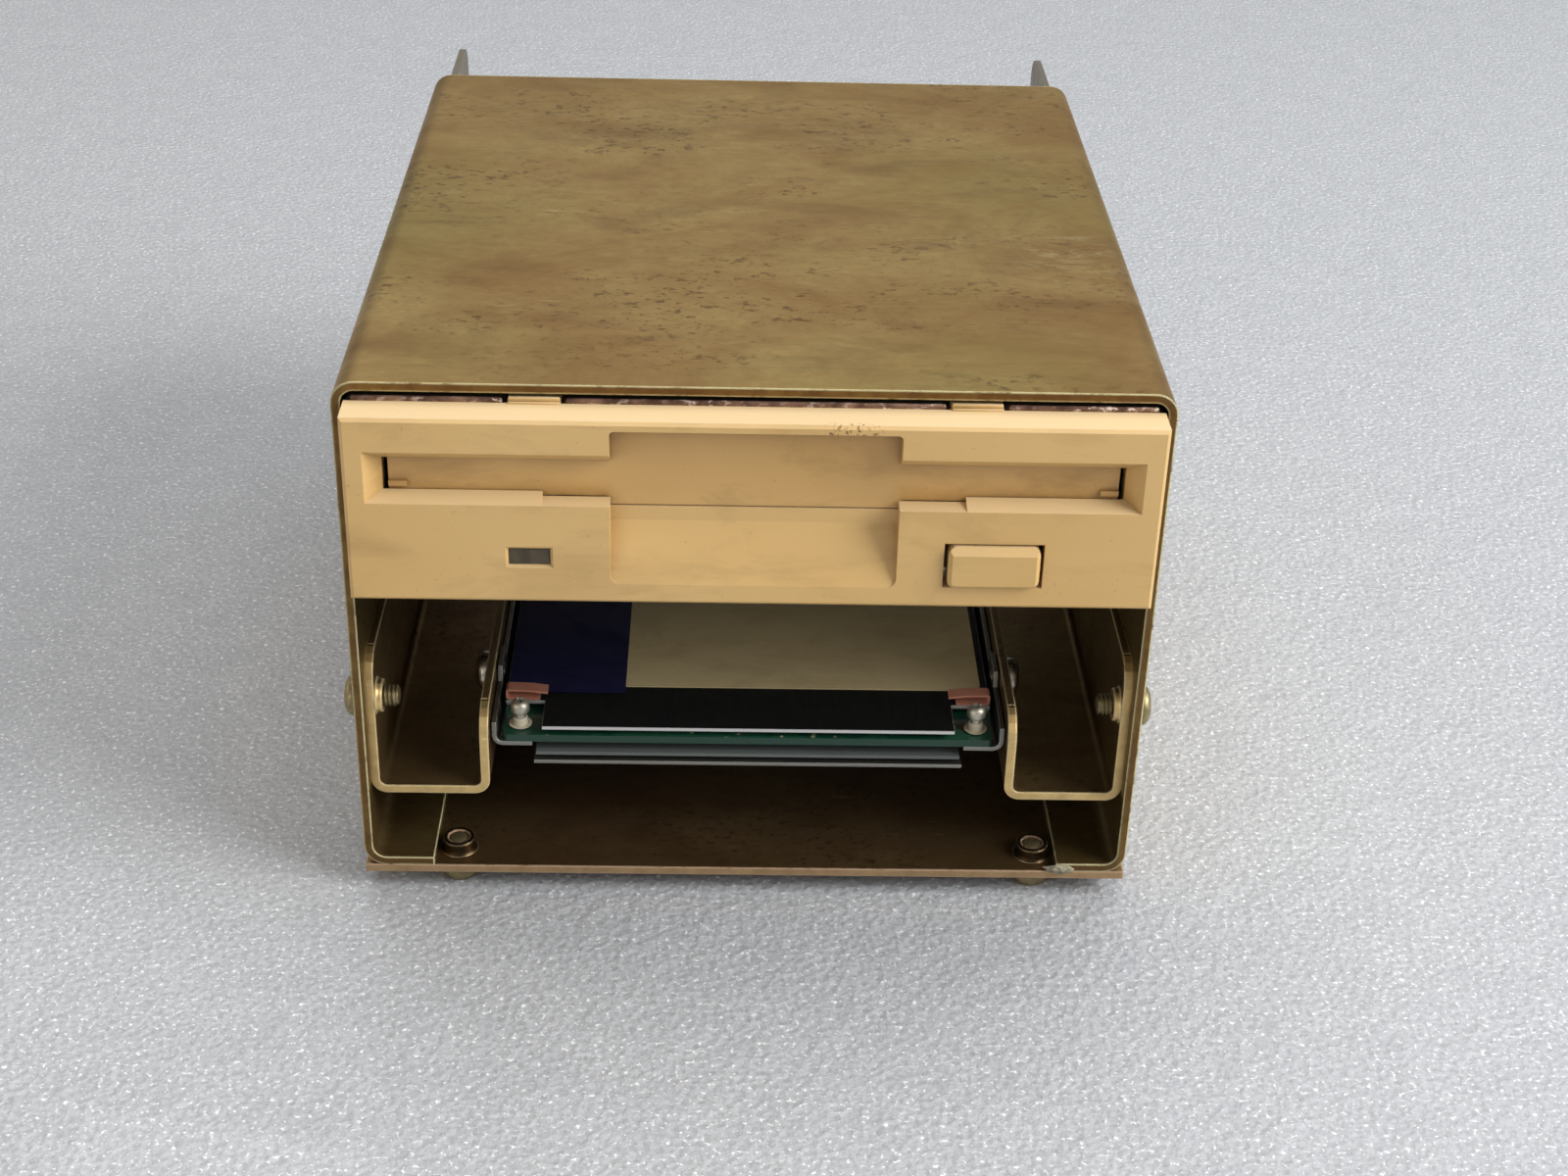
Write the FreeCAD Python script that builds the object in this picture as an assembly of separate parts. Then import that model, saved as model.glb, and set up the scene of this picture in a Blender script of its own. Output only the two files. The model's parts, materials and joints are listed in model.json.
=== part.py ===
import FreeCAD, Part
import math
import os

# A 3.5 inch floppy disk drive in the top of a folded steel cage, with a flash memory module under it.
# Millimetres. X points right, Y to the rear, Z up. Lengths along Y count from the front edge of the cage
# and heights from the surface that the object stands on. At the end all pieces move along Y together,
# so that the origin lies on that surface under the middle of the whole object.

# Cage, as wide as the drive and a gap on each side
cage_gap = 0.5
cage_depth = 117.5
cage_height = 73.4
cage_sheet = 1.2
cage_bend = 3.0
flange_reach = 9.5
base_sheet = 1.2
foot_side_inset = 12.5
foot_end_inset = 4.3
foot_head_h = 2.9
foot_collar_h = 1.75

# Screws and the drawn collars that they are driven into
screw_r = 1.5
head_r = 2.8
head_h = 1.8
screw_play = 0.2
screw_sides = 8
small_screw = 0.6
collar_wall = 0.7
collar_h = 0.9

# Channels under the drive
channel_sheet = 1.2
channel_bend = 2.2
channel_front = 2.4
channel_over_module = 8.0
channel_over_base = 10.4
channel_outer_h = 21.4
channel_inner_h = 12.9
channel_corner = 4.0
channel_screw_front = 2.5
channel_screw_rear = 7.5
channel_screw_up = 14.2
channel_screw_reach = 4.3

# Memory module between the channels
module_width = 69.8
module_length = 100.0
module_front = 4.8
module_over_web = 6.4
tray_sheet = 0.6
tray_wall_h = 3.6
tray_bend = 1.4
tray_strip = 5.4
tray_ear_h = 5.6
tray_ear = 8.0
side_screw_front = 14.0
side_screw_pitch = 76.6
side_screw_z = 3.1
side_clearance = 0.25
board_inset = 1.42
module_board_t = 1.1
lid_gap = 0.9
lid_sheet = 0.5
lid_neck_play = 1.4
lid_shoulder_play = 2.1
post_side_inset = 3.7
post_end_inset = 2.6
post_head_r = 1.3
post_h = 4.0
washer_r = 1.7
washer_t = 0.3
sleeve_h = 1.0
clip_w = 4.8
clip_h = 1.7
clip_depth = 2.0
clip_sheet = 0.3
clip_tongue = 1.0
label_front = 10.2
label_length = 72.0
label_w = 49.6
label_right_inset = 2.4
band_w = 16.2
label_t = 0.15
chip_t = 1.6
chip_w = 12.0
chip_rows = 4
chip_rear_gap = 2.2
chip_gap_x = 8.0
chip_gap_y = 5.0
insulator_t = 0.5
insulator_w = 58.0
shield_gap = 0.9
shield_t = 0.5
shield_w = 58.6
lug_front = 22.0
lug_rear = 30.0
lug_w = 8.0
lug_reach = 3.0
socket_w = 48.0
socket_depth = 7.0
socket_h = 3.4
socket_pins = 22
socket_pitch = 2.0
socket_pin_reach = 4.0
pin_side = 0.5

# Drive as a whole, wider than its disk on each side
drive_side = 5.8
drive_height = 25.4
drive_length = 151.2
roof_gap = 1.1
front_stand = 5.6

# Front panel
bezel_depth = 5.2
bezel_wall = 2.8
bezel_rim = 1.2
bezel_edge = 0.6
slot_play = 1.2
slot_h = 4.4
slot_mouth_side = 2.0
slot_mouth_low = 0.7
slot_mouth_high = 2.0
slot_center = 16.7
lip_step_w = 52.8
recess_w = 36.0
recess_corner = 1.3
recess_low = 2.8
recess_ledge = 10.5
recess_depth = 3.0
recess_wall = 1.4
notch_high = 24.2
lamp_inset = 18.1
lamp_low = 5.3
lamp_w = 5.2
lamp_h = 2.3
lamp_bevel = 0.35
button_inset = 16.0
button_hole_w = 12.6
button_hole_h = 6.3
button_hole_low = 3.0
button_corner = 1.0
button_gap = 0.3
button_side_gap = 0.5
button_stand = 1.1
button_length = 10.2
button_wall = 1.2
button_bevel = 0.9
button_edge = 0.5
tab_x = 27.4
tab_w = 6.6
tab_length = 3.0
snap_w = 5.0
snap_length = 6.4
snap_t = 1.1

# Dust door behind the slot
door_t = 1.2
door_gap = 0.2
door_end_gap = 0.7
door_pin_r = 0.75
door_pin_play = 0.08
door_barrel_r = 0.9
door_low_inset = 0.7
door_middle_low = 12.7
door_over_recess = 0.6
door_coil_x = 32.0
door_coil_w = 4.0

# Drive frame and covers
frame_sheet = 1.0
frame_wall_h = 24.3
ear_corner = 4.5
deck_h = 7.0
deck_front = 8.0
deck_behind_wall = 1.0
cover_sheet = 0.8
cover_length = 98.0
cover_skirt = 3.0
shield_sheet = 0.5
shield_front = 4.0
shield_lip = 3.0
shield_rear_gap = 5.6
mount_first = 21.0
mount_pitch = 70.0
mount_h = 5.0
mount_screw_reach = 4.3

# Disk, which sets the places of the holder, spindle and heads
disk_width = 90.0
disk_length = 94.0
disk_t = 3.3
disk_hub = 50.0
disk_recess = 2.6
disk_drop = 2.6
track_outer = 39.5
track_inner = 24.7

# Disk holder
holder_sheet = 0.6
holder_play = 0.9
holder_side_play = 0.9
holder_front = 9.5
holder_lip = 5.0
holder_tail = 6.0
stop_w = 6.8
window_w = 22.0
window_before_head = 9.7
side_window_in = 18.0
side_window_out = 36.0
side_window_front = 34.0
side_window_rear = 78.0
mouth_side = 6.0
mouth_depth = 6.0
pin_r = 1.0
pin_play = 0.1
pin_front = 24.0
pin_pitch = 58.0

# Eject slide
slide_sheet = 0.8
slide_travel = 5.5
slide_lift = 0.3
slide_front = 5.8
slide_rear = 96.0
slide_cross = 8.2
slide_strip = 8.5
slide_wall_gap = 0.8
slide_wall_h = 11.5
tongue_w = 6.0
tongue_drop = 2.4
rivet_r = 1.25
rivet_head_r = 2.2
rivet_head_h = 0.7
rivet_inset = 5.2
rivet_front = 30.0
rivet_pitch = 42.0
spring_r = 1.5
spring_inset = 7.5
spring_front = 19.5
spring_length = 30.0
hook_t = 0.9
hook_h = 4.4
hook_w = 3.4

# Latch lever on the disk holder
lever_inset = 3.0
lever_y = 70.0
lever_reach = 24.0
lever_rest = 190.0
lever_swing = 78.0
lever_sheet = 0.8
lever_gap = 0.1
lever_root_r = 4.0
lever_tip_r = 2.6
lever_pin_r = 1.3
lever_pivot_r = 1.5
lever_slot_play = 0.3

# Spindle
rotor_r = 20.0
rotor_sides = 24
rotor_wall = 1.0
rotor_plate = 0.9
magnet_wall = 1.5
stator_gap = 0.5
stator_arms = 9
stator_hub_r = 7.0
stator_arm_w = 2.2
stator_t = 1.0
coil_t = 0.3
bearing_r = 4.4
bearing_sides = 16
bearing_flange_r = 6.0
shaft_r = 2.0
shaft_play = 0.04
motor_board_t = 1.2
motor_board_inset = 11.0
motor_board_front = 14.5
motor_board_rear = 64.5
hub_r = 11.0
hub_t = 0.7
hub_pin_r = 1.98
drive_pin_r = 1.0
drive_pin_at = 9.6

# Head carriage, guide rod, lead screw and stepper motor
rod_x = 15.0
rod_r = 1.5
rod_play = 0.05
rod_before_head = 19.5
rod_h = 1.3
screw_axis_x = -15.0
lead_r = 1.5
lead_neck_r = 0.8
bush_r = 1.6
lead_before_head = 10.2
motor_r = 9.0
motor_sides = 20
motor_fill = 0.57
motor_pilot_r = 3.0
motor_axis_h = 10.3
motor_wall_gap = 2.4
arm_reach = 22.1
arm_w = 16.0
arm_t = 1.0
arm_pivot_h = 17.7
arm_angle = 11.5
arm_pin_r = 0.8
head_w = 4.0
head_l = 5.0

# Main board and connectors
main_board_t = 1.6
main_board_h = 1.7
main_board_gap = 1.0
main_board_inset = 4.3
main_board_step = 95.0
main_board_front = 4.0
board_rear_gap = 2.8
data_x = -14.0
data_pins = 17
data_pitch = 2.54
data_h = 8.8
data_depth = 9.1
data_wall = 1.2
data_floor = 2.2
data_end = 4.5
key_half = 2.2
pin_back = 1.2
power_inset = 15.8
power_pins = 4
power_pitch = 2.5
power_h = 5.6
power_depth = 8.0
power_floor = 1.6
power_end = 2.6
chip_side = 14.0
chip_high = 2.2
driver_length = 10.0
driver_fill = 0.2
driver_step = 0.34
rear_chip_step = 0.2
can_r = 2.6
can_h = 5.4
can_pitch = 7.5
can_step = 0.33
can_edge = 0.5
sensor_w = 5.2
sensor_l = 4.8
sensor_h = 1.9
contact_side = 0.64

# Heights, from the surface upwards
base_low = foot_head_h
base_top = base_low + base_sheet
cage_top = base_top + cage_height
cage_roof = cage_top - cage_sheet
channel_web_low = base_top + channel_over_base
channel_screw_z = channel_web_low + channel_screw_up
module_floor = channel_web_low + module_over_web

# Neck and shoulders of the module's lid, clear of the washers in its corners, and the chips under the board
lid_neck_w = module_width - 2 * (post_side_inset + washer_r + lid_neck_play)
lid_shoulder = post_end_inset + washer_r + lid_shoulder_play
chip_room = module_length - 2 * tray_strip - chip_w - chip_rear_gap
chip_l = (chip_room + chip_gap_y) / chip_rows - chip_gap_y

# Widths, from the disk outwards
slot_w = disk_width + 2 * slot_play
slot_mouth_w = slot_w + 2 * slot_mouth_side
drive_half = disk_width / 2 + drive_side
frame_in = drive_half - frame_sheet
cage_in = drive_half + cage_gap
cage_half = cage_in + cage_sheet
main_board_wide = 2 * (frame_in - main_board_gap)
main_board_w = main_board_wide - 2 * main_board_inset
lever_x = disk_width / 2 - lever_inset
spring_x = disk_width / 2 - spring_inset
motor_board_w = disk_width - 2 * motor_board_inset
button_x = slot_w / 2 - button_inset
lamp_x = lamp_inset - slot_w / 2
power_x = frame_in - power_inset

# Heights in the drive
drive_top = cage_roof - roof_gap
drive_low = drive_top - drive_height
frame_top = drive_low + frame_wall_h
deck_low = drive_low + deck_h
deck_top = deck_low + frame_sheet

# Places along the drive
face = -front_stand
wall_back = face + bezel_wall
frame_front = face + bezel_depth
drive_rear = face + drive_length
main_board_rear = drive_rear - board_rear_gap

# Disk at rest above the spindle, and the hub below it
slot_mid = drive_low + slot_center
slot_low = slot_mid - slot_h / 2
slot_high = slot_mid + slot_h / 2
disk_low = slot_mid - disk_t / 2
hub_y = face + disk_recess + disk_hub
loaded_mid = slot_mid - disk_drop

# Head drive and channels along Y
head_y = hub_y + track_outer
window_front = hub_y + track_inner - window_before_head
rod_front = head_y - rod_before_head
lead_front = head_y - lead_before_head
motor_wall_y = head_y + arm_reach + motor_wall_gap
deck_rear = motor_wall_y + deck_behind_wall
motor_front = motor_wall_y + frame_sheet
rear_room = drive_rear - data_depth - motor_front
motor_length = motor_fill * rear_room
channel_length = module_length + channel_over_module
channel_rear = channel_front + channel_length

# Whole object along Y, front of the button to the rear of the frame
front_end = face - button_stand
middle_y = (front_end + drive_rear) / 2

V = FreeCAD.Vector
PLACE = {
    "xy": lambda u, v, w: V(u, v, w),
    "xz": lambda u, v, w: V(u, w, v),
    "yz": lambda u, v, w: V(w, u, v),
}
NORMAL = {"xy": V(0, 0, 1), "xz": V(0, 1, 0), "yz": V(1, 0, 0)}
X_AXIS = V(1, 0, 0)
Y_AXIS = V(0, 1, 0)
Z_AXIS = V(0, 0, 1)
TINY = 1e-6


def block(x_low, x_high, y_low, y_high, z_low, z_high):
    """Box between two corners."""
    return Part.makeBox(x_high - x_low, y_high - y_low, z_high - z_low, V(x_low, y_low, z_low))


def rod(x, y, z, axis, radius, length):
    """Cylinder from a point along an axis."""
    return Part.makeCylinder(radius, length, V(x, y, z), axis)


def corners_round(x, y, z, axis, radius, sides):
    """Corners at equal steps round an axis, the first one twice."""
    centre = V(x, y, z)
    across = X_AXIS if abs(axis.z) > 0.5 else Z_AXIS
    beside = axis.cross(across)
    corners = []
    for i in range(sides):
        turn = 2 * math.pi * (i + 0.5) / sides
        corners.append(centre + across * (radius * math.cos(turn)) + beside * (radius * math.sin(turn)))
    return corners + [corners[0]]


def peg(x, y, z, axis, radius, length, sides=12):
    """Plain round piece or hole with few faces, from a point along an axis."""
    ring = corners_round(x, y, z, axis, radius, sides)
    return Part.Face(Part.makePolygon(ring)).extrude(axis * length)


def peg_cone(x, y, z, axis, radius, end_radius, length, sides=12):
    """Tapered round piece with few faces, from a point along an axis."""
    end = V(x, y, z) + axis * length
    near = corners_round(x, y, z, axis, radius, sides)
    far = corners_round(end.x, end.y, end.z, axis, end_radius, sides)
    faces = [Part.Face(Part.makePolygon(near)), Part.Face(Part.makePolygon(far))]
    for i in range(sides):
        faces.append(Part.Face(Part.makePolygon([near[i], near[i + 1], far[i + 1], far[i], near[i]])))
    return Part.Solid(Part.makeShell(faces))


def stepped(points, radii, steps=3):
    """Corners of an outline, those with a radius rounded in a few straight steps."""
    spots = [V(u, v, 0) for u, v in points]
    found = []
    for i, spot in enumerate(spots):
        if radii[i] < TINY:
            found.append(points[i])
            continue
        arc = Part.Arc(*corner_arc(spots[i - 1], spot, spots[(i + 1) % len(spots)], radii[i]))
        part = (arc.LastParameter - arc.FirstParameter) / steps
        found += [tuple(arc.value(arc.FirstParameter + part * k))[:2] for k in range(steps + 1)]
    return found


def corner_arc(before, corner, after, radius):
    """Start, middle and end of the arc that rounds one corner of an outline."""
    to_before = (before - corner).normalize()
    to_after = (after - corner).normalize()
    half = to_before.getAngle(to_after) / 2
    cut = radius / math.tan(half)
    inward = (to_before + to_after).normalize()
    centre = corner + inward * (radius / math.sin(half))
    return corner + to_before * cut, centre - inward * radius, corner + to_after * cut


def outline(points, plane, level, radii=0.0):
    """Closed wire through points, each corner rounded by its radius."""
    count = len(points)
    if not isinstance(radii, list):
        radii = [radii] * count
    spots = [PLACE[plane](u, v, level) for u, v in points]
    corners = []
    for i in range(count):
        if radii[i] > TINY:
            corners.append(corner_arc(spots[i - 1], spots[i], spots[(i + 1) % count], radii[i]))
        else:
            corners.append((spots[i], None, spots[i]))
    edges = []
    for i in range(count):
        start = corners[i - 1][2]
        end = corners[i][0]
        if (end - start).Length > TINY:
            edges.append(Part.LineSegment(start, end).toShape())
        if corners[i][1] is not None:
            edges.append(Part.Arc(corners[i][0], corners[i][1], corners[i][2]).toShape())
    return Part.Wire(edges)


def prism(points, plane, low, high, radii=0.0):
    """Solid of a closed outline drawn in a plane and pulled from one level to another."""
    return Part.Face(outline(points, plane, low, radii)).extrude(NORMAL[plane] * (high - low))


def rectangle(u_low, u_high, v_low, v_high):
    """Four corners of a rectangle, turning left."""
    return [(u_low, v_low), (u_high, v_low), (u_high, v_high), (u_low, v_high)]


def bent_sheet(path, plane, low, high, sheet, bend, side, steps=0):
    """Sheet bent along a path of one face; side 1 lays its thickness to the left, -1 to the right.

    The inner radius of each bend is given; without one, as on hidden small pieces, the bends are sharp.
    With a number of steps the bends are made of that many straight pieces.
    """
    count = len(path)
    spots = [V(u, v, 0) for u, v in path]
    ways = [(spots[i + 1] - spots[i]).normalize() for i in range(count - 1)]
    lefts = [V(-way.y, way.x, 0) * side for way in ways]
    offset = [spots[0] + lefts[0] * sheet]
    turns = []
    for i in range(1, count - 1):
        both = lefts[i - 1] + lefts[i]
        offset.append(spots[i] + both * (sheet / (both.dot(lefts[i]))))
        turns.append(side * ways[i - 1].cross(ways[i]).z > 0)
    offset.append(spots[-1] + lefts[-1] * sheet)
    near = [bend + sheet if turn else bend for turn in turns]
    far = [bend if turn else bend + sheet for turn in turns]
    if bend < TINY:
        near = [0.0 for turn in turns]
        far = near
    points = [(p.x, p.y) for p in spots] + [(p.x, p.y) for p in reversed(offset)]
    radii = [0.0] + near + [0.0, 0.0] + far[::-1] + [0.0]
    if steps:
        return prism(stepped(points, radii, steps), plane, low, high)
    return prism(points, plane, low, high, radii)


def joined(shapes):
    """One solid of shapes that touch or overlap."""
    if len(shapes) == 1:
        return shapes[0]
    return shapes[0].multiFuse(shapes[1:]).removeSplitter()


def cut_out(shape, tools):
    """A shape less its holes."""
    return shape.cut(tools)


def group(shapes):
    """Separate solids that share one name."""
    return Part.makeCompound(shapes)


def both_sides(shape):
    """A piece and its mirror image across the middle of the object."""
    return [shape, shape.mirror(V(0, 0, 0), X_AXIS)]


def pan_screw(x, y, z, axis, length, size=1.0, high=head_h):
    """Screw from the seat of its head along its shank; the head tapers towards its flat end."""
    shank = peg(x, y, z, axis, screw_r * size, length, screw_sides)
    return joined([shank] + pan_head(x, y, z, axis, size, high))


def pan_head(x, y, z, axis, size=1.0, high=head_h):
    """Rim and tapered upper part of a screw head on its seat; the axis points into the seat."""
    sides = screw_sides
    wide = head_r * size
    rim_h = high * size * 0.5
    top = V(x, y, z) - axis * rim_h
    rim = peg(x, y, z, axis * -1, wide, rim_h, sides)
    taper = peg_cone(top.x, top.y, top.z, axis * -1, wide, wide * 0.7, high * size - rim_h, sides)
    return [rim, taper]


def screw_hole(x, y, z, axis, length, size=1.0):
    """Hole that a screw's shank fills."""
    return peg(x, y, z, axis, screw_r * size, length, screw_sides)


def corner_waste(y, z, radius, way_y, way_z, x_low, x_high):
    """What is cut from a sheet's corner at (y, z) to round it; the ways point into the sheet."""
    far_y = y + way_y * radius
    far_z = z + way_z * radius
    square = block(x_low, x_high, min(y, far_y), max(y, far_y), min(z, far_z), max(z, far_z))
    return square.cut(peg(x_low, far_y, far_z, X_AXIS, radius, x_high - x_low, 20))


def slot_tool(start, end, radius, axis, depth):
    """Straight square-ended slot for a round pin between two points, cut along an axis."""
    way = (end - start).normalize()
    side = way.cross(axis) * radius
    first = start - way * radius
    last = end + way * radius
    corners = [first + side, last + side, last - side, first - side]
    return Part.Face(Part.makePolygon(corners + [corners[0]])).extrude(axis * depth)


# Cage


def foot_places():
    """Centres of the four screws in the base plate."""
    x = cage_half - foot_side_inset
    ends = (foot_end_inset, cage_depth - foot_end_inset)
    return [(side * x, y) for side in (-1, 1) for y in ends]


def channel_screw_places():
    """Distances of the channel screws from the front edge of the cage."""
    return [channel_front + channel_screw_front, channel_rear - channel_screw_rear]


def mount_screw_places():
    """Distances of the drive's side screws from the front edge of the cage."""
    first = face + mount_first
    return [first, first + mount_pitch]


def cage_shell():
    """Top, two walls and two inward flanges, folded from one sheet."""
    reach = cage_half - flange_reach
    path = [
        (-reach, base_top),
        (-cage_half, base_top),
        (-cage_half, cage_top),
        (cage_half, cage_top),
        (cage_half, base_top),
        (reach, base_top),
    ]
    shell = bent_sheet(path, "xz", 0, cage_depth, cage_sheet, cage_bend - cage_sheet, -1)
    places = [(y, channel_screw_z) for y in channel_screw_places()]
    places += [(y, drive_low + mount_h) for y in mount_screw_places()]
    through = 2 * cage_half + 2
    hole_r = screw_r + screw_play
    holes = [peg(-cage_half - 1, y, z, X_AXIS, hole_r, through, screw_sides) for y, z in places]
    return cut_out(shell, holes)


def base_plate():
    """Flat plate under the flanges, with a drawn collar for each foot screw."""
    plate = block(-cage_half, cage_half, 0, cage_depth, base_low, base_top)
    collars = []
    bores = []
    height = base_sheet + foot_collar_h
    for x, y in foot_places():
        collars.append(peg(x, y, base_low, Z_AXIS, screw_r + collar_wall, height, screw_sides))
        bores.append(screw_hole(x, y, base_low - 1, Z_AXIS, height + 2))
    return cut_out(joined([plate] + collars), bores)


def foot_screws():
    """Four pan-head screws whose heads carry the object."""
    length = base_sheet + foot_collar_h
    return group([pan_screw(x, y, base_low, Z_AXIS, length, 1.0, foot_head_h) for x, y in foot_places()])


def right_channel():
    """U-shaped channel, open upwards, its high leg on the cage wall and its low leg at the module."""
    outer = cage_in
    inner = module_width / 2 + side_clearance
    rear = channel_rear
    outer_top = channel_web_low + channel_outer_h
    inner_top = channel_web_low + channel_inner_h
    path = [(outer, outer_top), (outer, channel_web_low), (inner, channel_web_low), (inner, inner_top)]
    bend = channel_bend - channel_sheet
    channel = bent_sheet(path, "xz", channel_front, rear, channel_sheet, bend, -1)
    outer_leg = outer - channel_sheet
    collars = []
    holes = []
    for y in channel_screw_places():
        collar = peg(outer, y, channel_screw_z, X_AXIS * -1, screw_r + collar_wall, channel_sheet + collar_h,
                     screw_sides)
        collars.append(collar)
        holes.append(screw_hole(outer + 1, y, channel_screw_z, X_AXIS * -1, channel_sheet + collar_h + 2))
    for y in side_screw_places():
        z = module_floor + side_screw_z
        holes.append(peg(inner - 1, y, z, X_AXIS, screw_r + screw_play, channel_sheet + 2, screw_sides))
    for y, way in ((channel_front, 1), (rear, -1)):
        holes.append(corner_waste(y, outer_top, channel_corner, way, -1, outer_leg - 1, outer + 1))
        inner_leg = inner + channel_sheet
        holes.append(corner_waste(y, inner_top, channel_corner, way, -1, inner - 1, inner_leg + 1))
    return cut_out(joined([channel] + collars), holes)


def channel_screws():
    """Four screws through the cage walls into the channels, their ends bare inside."""
    length = cage_sheet + channel_screw_reach
    screws = []
    for y in channel_screw_places():
        screws += both_sides(pan_screw(cage_half, y, channel_screw_z, X_AXIS * -1, length))
    return group(screws)


def drive_mount_screws():
    """Four screws that hold the drive between the cage walls."""
    length = cage_half - frame_in + mount_screw_reach - frame_sheet
    screws = []
    for y in mount_screw_places():
        screws += both_sides(pan_screw(cage_half, y, drive_low + mount_h, X_AXIS * -1, length))
    return group(screws)


# Memory module


def side_screw_places():
    """Distances of the module's side screws from the front edge of the cage."""
    first = module_front + side_screw_front
    return [first, first + side_screw_pitch]


def post_places():
    """Centres of the four corner screws of the module."""
    x = module_width / 2 - post_side_inset
    ends = (module_front + post_end_inset, module_front + module_length - post_end_inset)
    return [(side * x, y) for side in (-1, 1) for y in ends]


def module_tray():
    """Shallow tray of thin sheet: two turned-up sides joined by a strip at the rear."""
    half = module_width / 2
    rear = module_front + module_length
    wall_top = module_floor + tray_wall_h
    path = [(-half, wall_top), (-half, module_floor), (half, module_floor), (half, wall_top)]
    tray = bent_sheet(path, "xz", module_front, rear, tray_sheet, tray_bend - tray_sheet, 1, 3)
    ears = []
    holes = []
    opening = half - tray_strip
    holes.append(block(-opening, opening, module_front - 1, rear - 2 * tray_strip,
                       module_floor - 1, module_floor + tray_sheet + 1))
    for y in side_screw_places():
        low = wall_top - tray_bend
        high = module_floor + tray_ear_h
        wide = tray_ear / 2
        top = wide - tray_bend
        ear_points = [(y - wide, low), (y + wide, low), (y + top, high), (y - top, high)]
        ears += both_sides(prism(ear_points, "yz", half - tray_sheet, half))
        holes.append(screw_hole(-half - 1, y, module_floor + side_screw_z, X_AXIS, module_width + 2))
    return cut_out(joined([tray] + ears), holes)


def module_board():
    """Circuit board of the module, held on the tray at its corners."""
    half = module_width / 2 - board_inset
    low = module_floor + tray_sheet
    rear = module_front + module_length
    points = rectangle(-half, half, module_front, rear)
    return prism(points, "xy", low, low + module_board_t, [0.8, 0.8, 0, 0])


def module_lid():
    """Thin lid over the board, necked at its ends to clear the corner screws."""
    half = module_width / 2 - board_inset
    neck = lid_neck_w / 2
    front = module_front
    rear = module_front + module_length - socket_depth
    shoulder = front + lid_shoulder
    board_top = module_floor + tray_sheet + module_board_t
    low = board_top + lid_gap
    points = [
        (-neck, front), (neck, front), (neck, shoulder), (half, shoulder),
        (half, rear), (-half, rear), (-half, shoulder), (-neck, shoulder),
    ]
    lid = prism(points, "xy", low, low + lid_sheet)
    skirt = block(half - lid_sheet, half, shoulder + 1, rear, board_top, low + lid_sheet)
    return joined([lid] + both_sides(skirt))


def module_label_pieces():
    """Pale label field and dark band beside it, flat on the lid."""
    low = module_floor + tray_sheet + module_board_t + lid_gap + lid_sheet
    front = module_front + label_front
    rear = front + label_length
    right = module_width / 2 - label_right_inset
    left = right - label_w
    corner = 1.2
    field = prism(rectangle(left, right, front, rear), "xy", low, low + label_t, [0, corner, 0, 0])
    band = prism(rectangle(left - band_w, left, front - 1.5, rear), "xy", low, low + label_t)
    return field, band


def module_posts():
    """Tall round heads of the four corner screws, on their sleeves."""
    board_top = module_floor + tray_sheet + module_board_t
    posts = []
    for x, y in post_places():
        head_low = board_top + washer_t + sleeve_h
        crown_low = board_top + post_h - 0.4
        head = peg(x, y, head_low, Z_AXIS, post_head_r, crown_low - head_low, screw_sides)
        crown = peg_cone(x, y, crown_low, Z_AXIS, post_head_r, post_head_r * 0.7, 0.4, screw_sides)
        posts.append(joined([head, crown]))
    return group(posts)


def module_washers():
    """Washers of the corner screws, each with a low sleeve up to the head."""
    board_top = module_floor + tray_sheet + module_board_t
    rings = []
    for x, y in post_places():
        ring = peg(x, y, board_top, Z_AXIS, washer_r, washer_t, screw_sides)
        sleeve = peg(x, y, board_top, Z_AXIS, post_head_r * 0.85, washer_t + sleeve_h, screw_sides)
        rings.append(joined([ring, sleeve]))
    return group(rings)


def module_clips():
    """Springy contact clips, open to the middle, on the lid's shoulders behind the corner screws."""
    half = module_width / 2 - board_inset
    low = module_floor + tray_sheet + module_board_t + lid_gap + lid_sheet
    front = module_front + lid_shoulder + 0.1
    rear = front + clip_depth
    inner = half - clip_w
    path = [(inner, low), (half, low), (half, low + clip_h), (inner - clip_tongue, low + clip_h)]
    clip = bent_sheet(path, "xz", front, rear, clip_sheet, 0.0, 1)
    return group(both_sides(clip))


def module_chips():
    """Memory chips in rows under the board, which carry the insulating sheet."""
    top = module_floor + tray_sheet
    chips = []
    for row in range(chip_rows):
        y = module_front + chip_w + row * (chip_l + chip_gap_y)
        for column in (-1, 0, 1):
            x = column * (chip_w + chip_gap_x) - chip_w / 2
            chips.append(block(x, x + chip_w, y, y + chip_l, top - chip_t, top))
    return group(chips)


def module_insulator():
    """Grey insulating sheet against the chips."""
    top = module_floor + tray_sheet - chip_t
    half = insulator_w / 2
    rear = module_front + module_length - 2 * tray_strip - 1
    return block(-half, half, module_front, rear, top - insulator_t, top)


def module_shield():
    """Lower shield sheet, hung from the tray by four turned-up lugs."""
    half = shield_w / 2
    top = module_floor + tray_sheet - chip_t - insulator_t - shield_gap
    rear = module_front + module_length - 2 * tray_strip - 1
    sheet = block(-half, half, module_front, rear, top - shield_t, top)
    lugs = []
    for y in (module_front + lug_front, rear - lug_rear):
        path = [(half - 1.0, top - shield_t), (half + shield_t, top - shield_t),
                (half + shield_t, module_floor - shield_t),
                (half + shield_t + lug_reach, module_floor - shield_t)]
        lug = bent_sheet(path, "xz", y, y + lug_w, shield_t, 0.0, 1)
        lugs += both_sides(lug)
    return joined([sheet] + lugs)


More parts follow.
